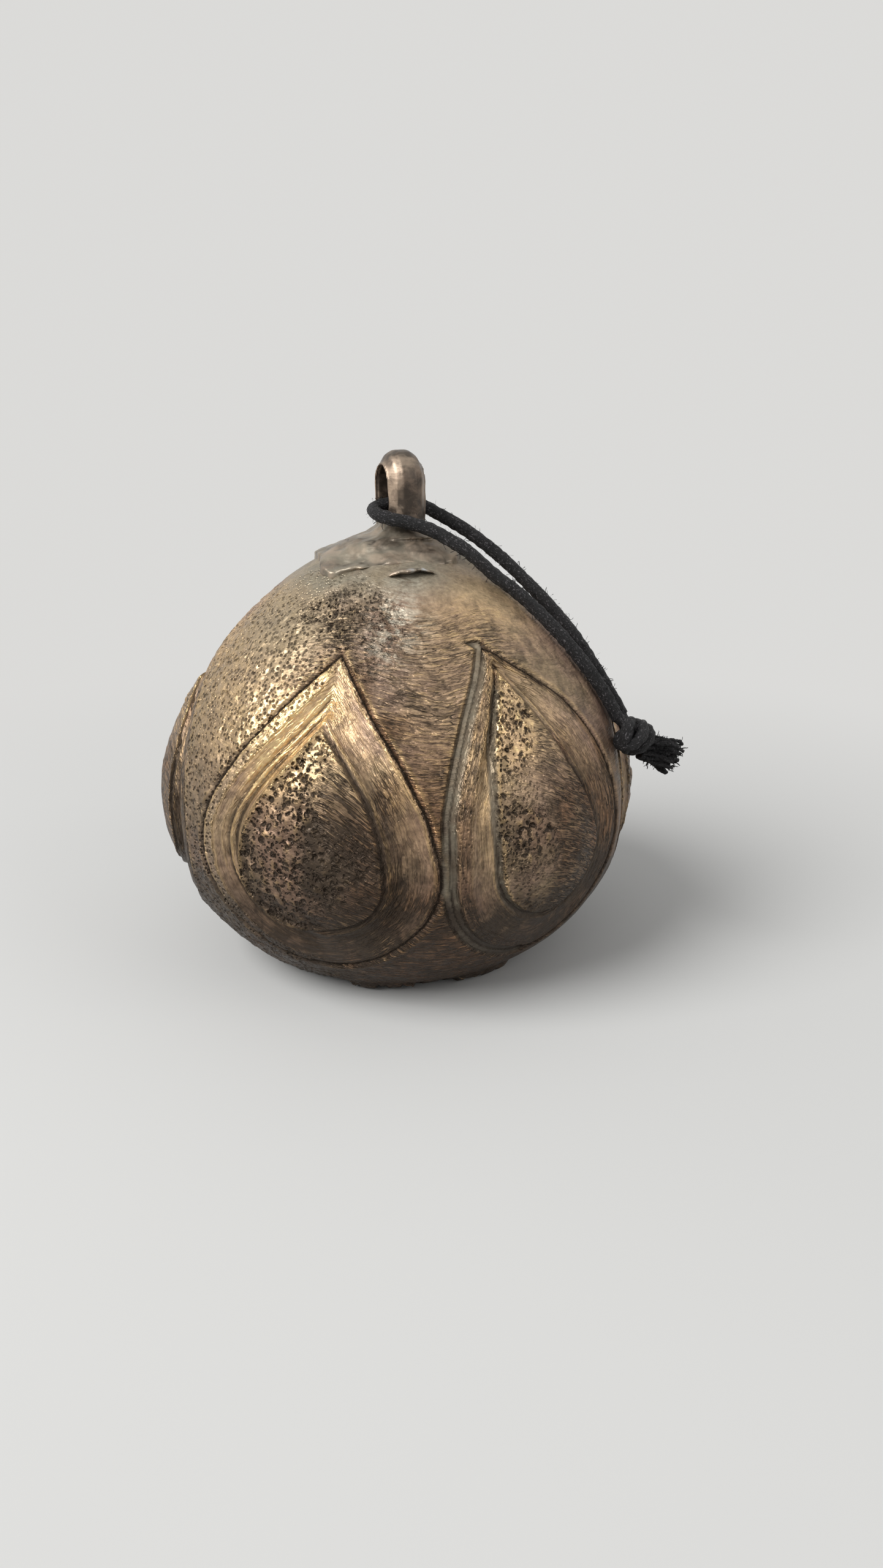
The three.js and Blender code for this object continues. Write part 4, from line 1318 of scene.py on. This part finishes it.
class BELL_OT_cord(bpy.types.Operator):
    """Lays the black waxed cord, its double overhand knot and its two frayed tails"""

    bl_idname = "bell.cord"
    bl_label = "Cord"

    def execute(self, context):
        sizes = context.scene.bell_cord
        material = cotton_material()
        centres = curve_through(CORD_ROUTE, 0.00032)
        radius = sizes.diameter / 2
        fuzz = self.fuzz(centres, radius, np.random.default_rng(8))
        strands = tubes("cord_strands", [(centres, lobed(radius, sizes.yarns, sizes.lay, 0.1), 20), *fuzz])
        self.dress(strands, material, 0.09, "cord_loop")
        knot = self.knot(sizes)
        self.dress(knot, material, 0.13, "cord_knot")
        rng = np.random.default_rng(5)
        for name, node, route, thickness, spread in (
            ("frayed_tail_upper", "cord_tail_upper", UPPER_TAIL, 0.0016, 0.5),
            ("frayed_tail_lower", "cord_tail_lower", LOWER_TAIL, 0.0018, 0.7),
        ):
            tail = self.tail(name, route, thickness, spread, rng)
            self.dress(tail, material, 0.0, node)
        return {"FINISHED"}

    @staticmethod
    def dress(piece, material, dents, node):
        if dents:
            points = places(piece)
            points += normals(piece) * (dents * rough(points, 1.1, 2, 80))[:, None]
            set_places(piece, points)
        set_values(piece, "proudness", worn_edges(piece, 2))
        finish_piece(piece, material, "waxed_cotton", "root", node)

    @staticmethod
    def fuzz(centres, radius, rng):
        """Short hairs that stand off the cord."""
        runs = []
        hairs, thin = 420, 0.00004
        for _ in range(hairs):
            start = rng.integers(4, len(centres) - 4)
            along = unit(centres[start + 1] - centres[start])
            outward = unit(np.cross(along, rng.normal(size=3)))
            heading = along * rng.uniform(-1, 1) + outward * rng.uniform(0.3, 1)
            heading *= rng.uniform(0.0004, 0.0009) / np.linalg.norm(heading)
            root = centres[start] + outward * radius * 0.85
            path = np.array([root, root + heading, root + 1.7 * heading + along * rng.normal(0, 0.0002)])
            runs.append((path, lambda turn, way: thin, 3))
        return runs

    @staticmethod
    def knot(sizes):
        """Two wraps round the standing strands, the lobe behind them and the strands that they hold."""
        centre = np.array([0.0542, -0.0172, 0.0547])
        axis = unit(np.array([0.62, 0.6, -0.5]))
        outward = unit(np.array([centre[0], centre[1], 0]))
        across = unit(np.cross(outward, axis))
        depth = np.cross(axis, across)

        def at(along, side, out):
            return centre + (axis * along + across * side + depth * out) * MM

        def lay(route, share, sides):
            strand = lobed(radius * share, sizes.yarns, sizes.lay, 0.16)
            runs.append((curve_through(route, 0.0004), strand, sides))

        radius = sizes.diameter / 2
        runs = []
        for start, lean, size in ((-1.9, 0.55, 2.75), (1.1, 0.55, 2.65)):
            wrap = []
            for k in range(13):
                turn = math.radians(-200 + 400 * k / 12)
                out = size * math.cos(turn)
                side = size * 1.08 * math.sin(turn)
                slip = start + lean * math.sin(turn) * 2.2 + 1.6 * (k / 12 - 0.5)
                tuck = 1 - 0.45 * max(0, abs(k - 6) - 4.5)
                wrap.append(at(slip, side * tuck, out * tuck))
            lay(wrap, 0.98, 18)
        lobe = [at(-1.2, 2.6, -1.2), at(-3.6, 2.3, 0.2), at(-5.1, 0.4, 0.9)]
        lobe += [at(-4.6, -1.8, 0.4), at(-2.6, -2.9, -0.6), at(-0.4, -2.6, -1.4)]
        lay(lobe, 1, 18)
        for first, (side, out) in ((CORD_ROUTE[0], (0.9, 0.9)), (CORD_ROUTE[-1], (-0.9, -0.6))):
            first = np.array(first)
            held = [at(-1.2, side, out), at(2.2, side * 0.8, out * 0.6), at(4.6, side, out)]
            lay([first + (first - centre) * 0.08, *held], 0.95, 16)
        return tubes("double_knot", runs)

    @staticmethod
    def tail(name, route, thickness, spread, rng):
        """A short end that opens into yarns and loose fibres."""
        spine = curve_through(route, 0.0003)
        count = len(spine)
        heading = unit(spine[-1] - spine[-3])
        side = unit(np.cross(heading, (0, 0, 1)))
        up = np.cross(side, heading)
        share = np.linspace(0, 1, count)[:, None]
        runs = []
        yarns, fibres, steps = 18, 150, 7
        for k in range(yarns):
            turn = 2 * math.pi * k / yarns + rng.uniform(-0.3, 0.3)
            ring = thickness * rng.uniform(0.35, 1.0)
            flare = 1 + spread * rng.uniform(0.2, 1.2) * share**1.5
            twist = turn + share * rng.uniform(1.0, 2.6)
            offset = ring * flare * (np.cos(twist) * side + np.sin(twist) * up)
            wander = np.cumsum(rng.normal(0, 0.00007, (count, 3)), axis=0)
            yarn = (spine + offset + wander)[: int(count * rng.uniform(0.72, 1.0))]
            thick = rng.uniform(0.0004, 0.0006)
            runs.append((yarn, lobed(thick, 2, 0.002, 0.2, rng.uniform(0, 3)), 8))
        for _ in range(fibres):
            start = rng.integers(int(count * 0.1), count - 3)
            turn = rng.uniform(0, 2 * math.pi)
            ring = thickness * rng.uniform(0.6, 1.3)
            outward = np.cos(turn) * side + np.sin(turn) * up
            direction = heading * rng.uniform(0.3, 1.2) + outward * rng.uniform(0.1, 1.0) * (0.4 + spread)
            direction = unit(direction)
            reach = rng.uniform(0.0008, 0.0024)
            path = [spine[start] + outward * ring * 0.7]
            for _ in range(steps):
                direction = unit(direction + rng.normal(0, 0.3, 3))
                path.append(path[-1] + direction * reach / steps)
            thick = rng.uniform(0.0001, 0.00022)

            def taper(turn, way, thick=thick, reach=reach):
                return thick * (1 - 0.55 * way / reach)
            runs.append((np.array(path), taper, 4))
        return tubes(name, runs)


# Clapper

class BELL_OT_clapper(bpy.types.Operator):
    """Forges the staple, the link, the shank with its eye and peened head, and casts the ball"""

    bl_idname = "bell.clapper"
    bl_label = "Clapper"

    def execute(self, context):
        sizes = context.scene.bell_clapper
        forged = iron_material("forged_iron", 0.6)
        cast = iron_material("cast_iron_ball", 0.9)
        self.dress(self.staple(sizes), forged, 0.05, "forged_iron", "root", "clapper_staple")
        self.dress(self.link(sizes), forged, 0.05, "forged_iron", "link", "clapper_link")
        self.dress(self.shank(sizes), forged, 0.07, "forged_iron", "clapper", "clapper_shank")
        self.dress(self.ball(), cast, 0.14, "cast_iron_ball", "clapper", "clapper_ball")
        return {"FINISHED"}

    @staticmethod
    def dress(piece, material, dents, slot, body, node):
        points = places(piece)
        points += normals(piece) * (dents * (rough(points, 2.6, 3, 90) - 0.3))[:, None]
        set_places(piece, points)
        set_values(piece, "proudness", worn_edges(piece, 3))
        finish_piece(piece, material, slot, body, node)

    @staticmethod
    def staple(sizes):
        radius = sizes.wire / 2
        bend = STAPLE_HIGH.x - radius
        low = STAPLE_LOW.z + radius
        middle = low + bend
        route = [(-bend, 0, STAPLE_HIGH.z), (-bend, 0, (STAPLE_HIGH.z + middle) / 2)]
        for turn in np.linspace(math.pi, 2 * math.pi, 9):
            route.append((bend * math.cos(turn), 0, middle + bend * math.sin(turn)))
        route += [(bend, 0, (STAPLE_HIGH.z + middle) / 2), (bend, 0, STAPLE_HIGH.z)]
        centres = curve_through(route, 0.0006)
        return tubes("staple_wire", [(centres, lambda turn, way: radius * 0.985, 20)])

    @staticmethod
    def link(sizes):
        """A closed link: a torus drawn out upright."""
        wire = sizes.link_wire / 2
        radius = LINK_HIGH.y - wire
        straight = (LINK_HIGH.z - LINK_LOW.z) / 2 - radius - wire
        bpy.ops.mesh.primitive_torus_add(
            major_segments=64, minor_segments=20, major_radius=radius, minor_radius=wire * 0.985,
            rotation=(math.pi / 2, 0, math.pi / 2), location=(0, 0, 0),
        )
        link = bpy.context.object
        link.name = link.data.name = "iron_link"
        set_in_place(link)
        points = places(link)
        along = np.hypot(points[:, 1], points[:, 2])
        drawn = straight / MM * np.clip(3 * points[:, 2] / along, -1, 1)
        points[:, 2] += drawn + (LINK_HIGH.z + LINK_LOW.z) / 2 / MM
        set_places(link, points)
        return link

    @staticmethod
    def shank(sizes):
        """A rod that thins towards its eye, with a peened head under the ball."""
        eye_wire = sizes.eye_wire / 2
        eye_radius = SHANK_HIGH.x - eye_wire
        eye_height = SHANK_HIGH.z - SHANK_HIGH.x
        neck = eye_height - eye_radius
        low, head_top, ball_top = SHANK_LOW.z, SHANK_LOW.z + 0.0018, BALL_HIGH.z
        head, rod = 0.0039, sizes.shank_radius
        profile = [
            (0, low), (head * 0.4, low + 0.0001), (head * 0.75, low + 0.0005), (head * 0.97, low + 0.0012),
            (head, head_top - 0.0002), (head * 0.98, head_top), (rod, head_top), (rod * 0.99, ball_top),
            (rod, ball_top + 0.0012), (rod * 0.98, ball_top + 0.012), (rod * 0.9, neck - 0.012),
            (0.0019, neck - 0.002), (0.0016, neck - 0.0004), (0.0012, neck + 0.0003), (0, neck + 0.0004),
        ]
        profile = [(r / MM, z / MM) for r, z in profile]
        rod_piece = spun("rod", profile, 32, np.zeros(len(profile)))
        subdivide_all(2)
        bpy.ops.mesh.primitive_torus_add(
            major_segments=56, minor_segments=20, major_radius=eye_radius, minor_radius=eye_wire * 0.985,
            rotation=(math.pi / 2, 0, 0), location=(0, 0, eye_height),
        )
        eye = bpy.context.object
        set_in_place(eye)
        shank = join("forged_shank", [rod_piece, eye])
        apply_modifier(shank, "REMESH", mode="VOXEL", voxel_size=0.0003, adaptivity=0.0)
        apply_modifier(shank, "SMOOTH", factor=0.5, iterations=4)
        return shank

    @staticmethod
    def ball():
        """A cast ball with a faint seam and a flat round its bore at both ends."""
        centre = (BALL_HIGH + BALL_LOW) / 2
        radius = BALL_HIGH.x / MM
        flat = (BALL_HIGH.z - centre.z) / MM
        bore = 2.65
        turn = np.linspace(-math.asin(flat / radius), math.asin(flat / radius), 60)
        arc = [(radius * math.cos(t), centre.z / MM + radius * math.sin(t)) for t in turn]
        floor, roof = centre.z / MM - flat, centre.z / MM + flat
        profile = [(bore, floor), *arc, (bore, roof), (bore, centre.z / MM), (bore, floor)]
        ball = spun("iron_ball", profile, 96, np.zeros(len(profile)))
        points = places(ball)
        past_bore = np.hypot(points[:, 0], points[:, 1]) > 4
        seam = rib(points[:, 1] + 0.4 * np.sin(points[:, 2] * 0.3), 0.5) * past_bore
        points[:, :2] *= (1 + 0.012 * seam - 0.006)[:, None]
        set_places(ball, points)
        return ball


# Stage

class BELL_OT_stage(bpy.types.Operator):
    """Sets up the camera, the pale floor and soft lamps"""

    bl_idname = "bell.stage"
    bl_label = "Stage"

    def execute(self, context):
        scene = context.scene
        settings = scene.bell_stage
        backdrop = tuple(scene.bell_finish.backdrop)
        scene.view_settings.view_transform = "Standard"
        camera_data = bpy.data.cameras.new("camera")
        camera_data.lens = settings.lens
        camera_data.sensor_width = 36
        camera_data.sensor_fit = "AUTO"
        camera_data.clip_start = 0.01
        camera = bpy.data.objects.new("camera", camera_data)
        scene.collection.objects.link(camera)
        camera.location = settings.camera_at
        camera.rotation_euler = (math.pi / 2 - settings.pitch, 0, 0)
        scene.camera = camera

        self.floor(backdrop, tuple(scene.bell_finish.floor))
        self.lamp("key", (-0.85, -0.6, 1.0), 1.0, settings.key)
        self.lamp("fill", (0.9, -0.5, 0.6), 0.8, settings.fill)
        self.sky(scene, backdrop, settings.sky)
        return {"FINISHED"}

    @classmethod
    def floor(cls, backdrop, near):
        """A wide pale floor, whose far part has the backdrop's own colour."""
        deselect()
        bpy.ops.mesh.primitive_circle_add(vertices=96, radius=9, fill_type="NGON", location=(0, 0, -0.0002))
        floor = bpy.context.object
        floor.name = "floor"
        set_in_place(floor)
        floor.data.materials.append(cls.floor_material(backdrop, near))
        return floor

    @staticmethod
    def floor_material(backdrop, near):
        """Matt, and darker to the light it throws back. Far off the camera sees the backdrop's colour."""
        material, shader, n = new_material("floor")
        at, seen = n.coordinates(), n.seen()
        pale = n.mix(n.noise(at, 9, 3, 0.5), shade(near, 0.97), near)
        body = n.mix(seen, shade(near, 0.35), pale)
        n.fill(shader, {"Base Color": body, "Roughness": 0.85, "Specular IOR Level": 0.2})
        far = n.add("VectorMath", at, operation="LENGTH").outputs["Value"]
        share = n.times(seen, n.remap(far, 0.07, 0.32))
        glow = n.add("Emission", (*backdrop, 1)).outputs[0]
        mix = n.add("MixShader", share, shader.outputs[0], glow).outputs[0]
        output = next(node for node in n.tree.nodes if node.type == "OUTPUT_MATERIAL")
        n.put(output.inputs["Surface"], mix)
        return material

    @staticmethod
    def lamp(name, place, size, power):
        data = bpy.data.lights.new(name, "AREA")
        data.shape = "DISK"
        data.size = size
        data.energy = power
        lamp = bpy.data.objects.new(name, data)
        bpy.context.scene.collection.objects.link(lamp)
        lamp.location = place
        aim = Vector((0, 0, 0.05)) - Vector(place)
        lamp.rotation_euler = aim.to_track_quat("-Z", "Y").to_euler()

    @staticmethod
    def sky(scene, backdrop, strength):
        """White light from all round. The camera sees the backdrop's colour in its place."""
        scene.world = bpy.data.worlds.new("studio")
        scene.world.use_nodes = True
        n = Nodes(scene.world)
        lit = n.add("Background", (1, 1, 1, 1), strength).outputs[0]
        shown = n.add("Background", (*backdrop, 1), 1.0).outputs[0]
        n.add("OutputWorld", n.add("MixShader", n.seen(), lit, shown).outputs[0])


class BELL_PT_panel(bpy.types.Panel):
    """Lists the steps that build the bell, with their sizes and colours"""

    bl_idname = "BELL_PT_panel"
    bl_label = "Ritual bell"
    bl_space_type = "VIEW_3D"
    bl_region_type = "UI"
    bl_category = "Bell"

    def draw(self, context):
        for group, operator in STEPS:
            box = self.layout.box()
            box.operator(operator.bl_idname)
            settings = getattr(context.scene, group)
            for key in settings.bl_rna.properties.keys():
                if key not in {"rna_type", "name"}:
                    box.prop(settings, key)
        box = self.layout.box()
        for key in context.scene.bell_finish.bl_rna.properties.keys():
            if key not in {"rna_type", "name"}:
                box.prop(context.scene.bell_finish, key)


GROUPS = {
    "bell_stage": StageSettings,
    "bell_cord": CordSizes,
    "bell_body": BodySizes,
    "bell_loop": LoopSizes,
    "bell_clapper": ClapperSizes,
    "bell_finish": Finish,
}
STEPS = [
    ("bell_stage", BELL_OT_stage),
    ("bell_cord", BELL_OT_cord),
    ("bell_body", BELL_OT_shell),
    ("bell_loop", BELL_OT_crown_loop),
    ("bell_clapper", BELL_OT_clapper),
]
CLASSES = [*GROUPS.values(), *(operator for _, operator in STEPS), BELL_PT_panel]


def register():
    for item in CLASSES:
        bpy.utils.register_class(item)
    for name, group in GROUPS.items():
        setattr(bpy.types.Scene, name, PointerProperty(type=group))


def unregister():
    for name in GROUPS:
        delattr(bpy.types.Scene, name)
    for item in reversed(CLASSES):
        bpy.utils.unregister_class(item)


def main():
    register()
    bpy.ops.bell.stage()
    bpy.ops.bell.cord()
    bpy.ops.bell.shell()
    bpy.ops.bell.crown_loop()
    bpy.ops.bell.clapper()


if __name__ == "__main__":
    main()
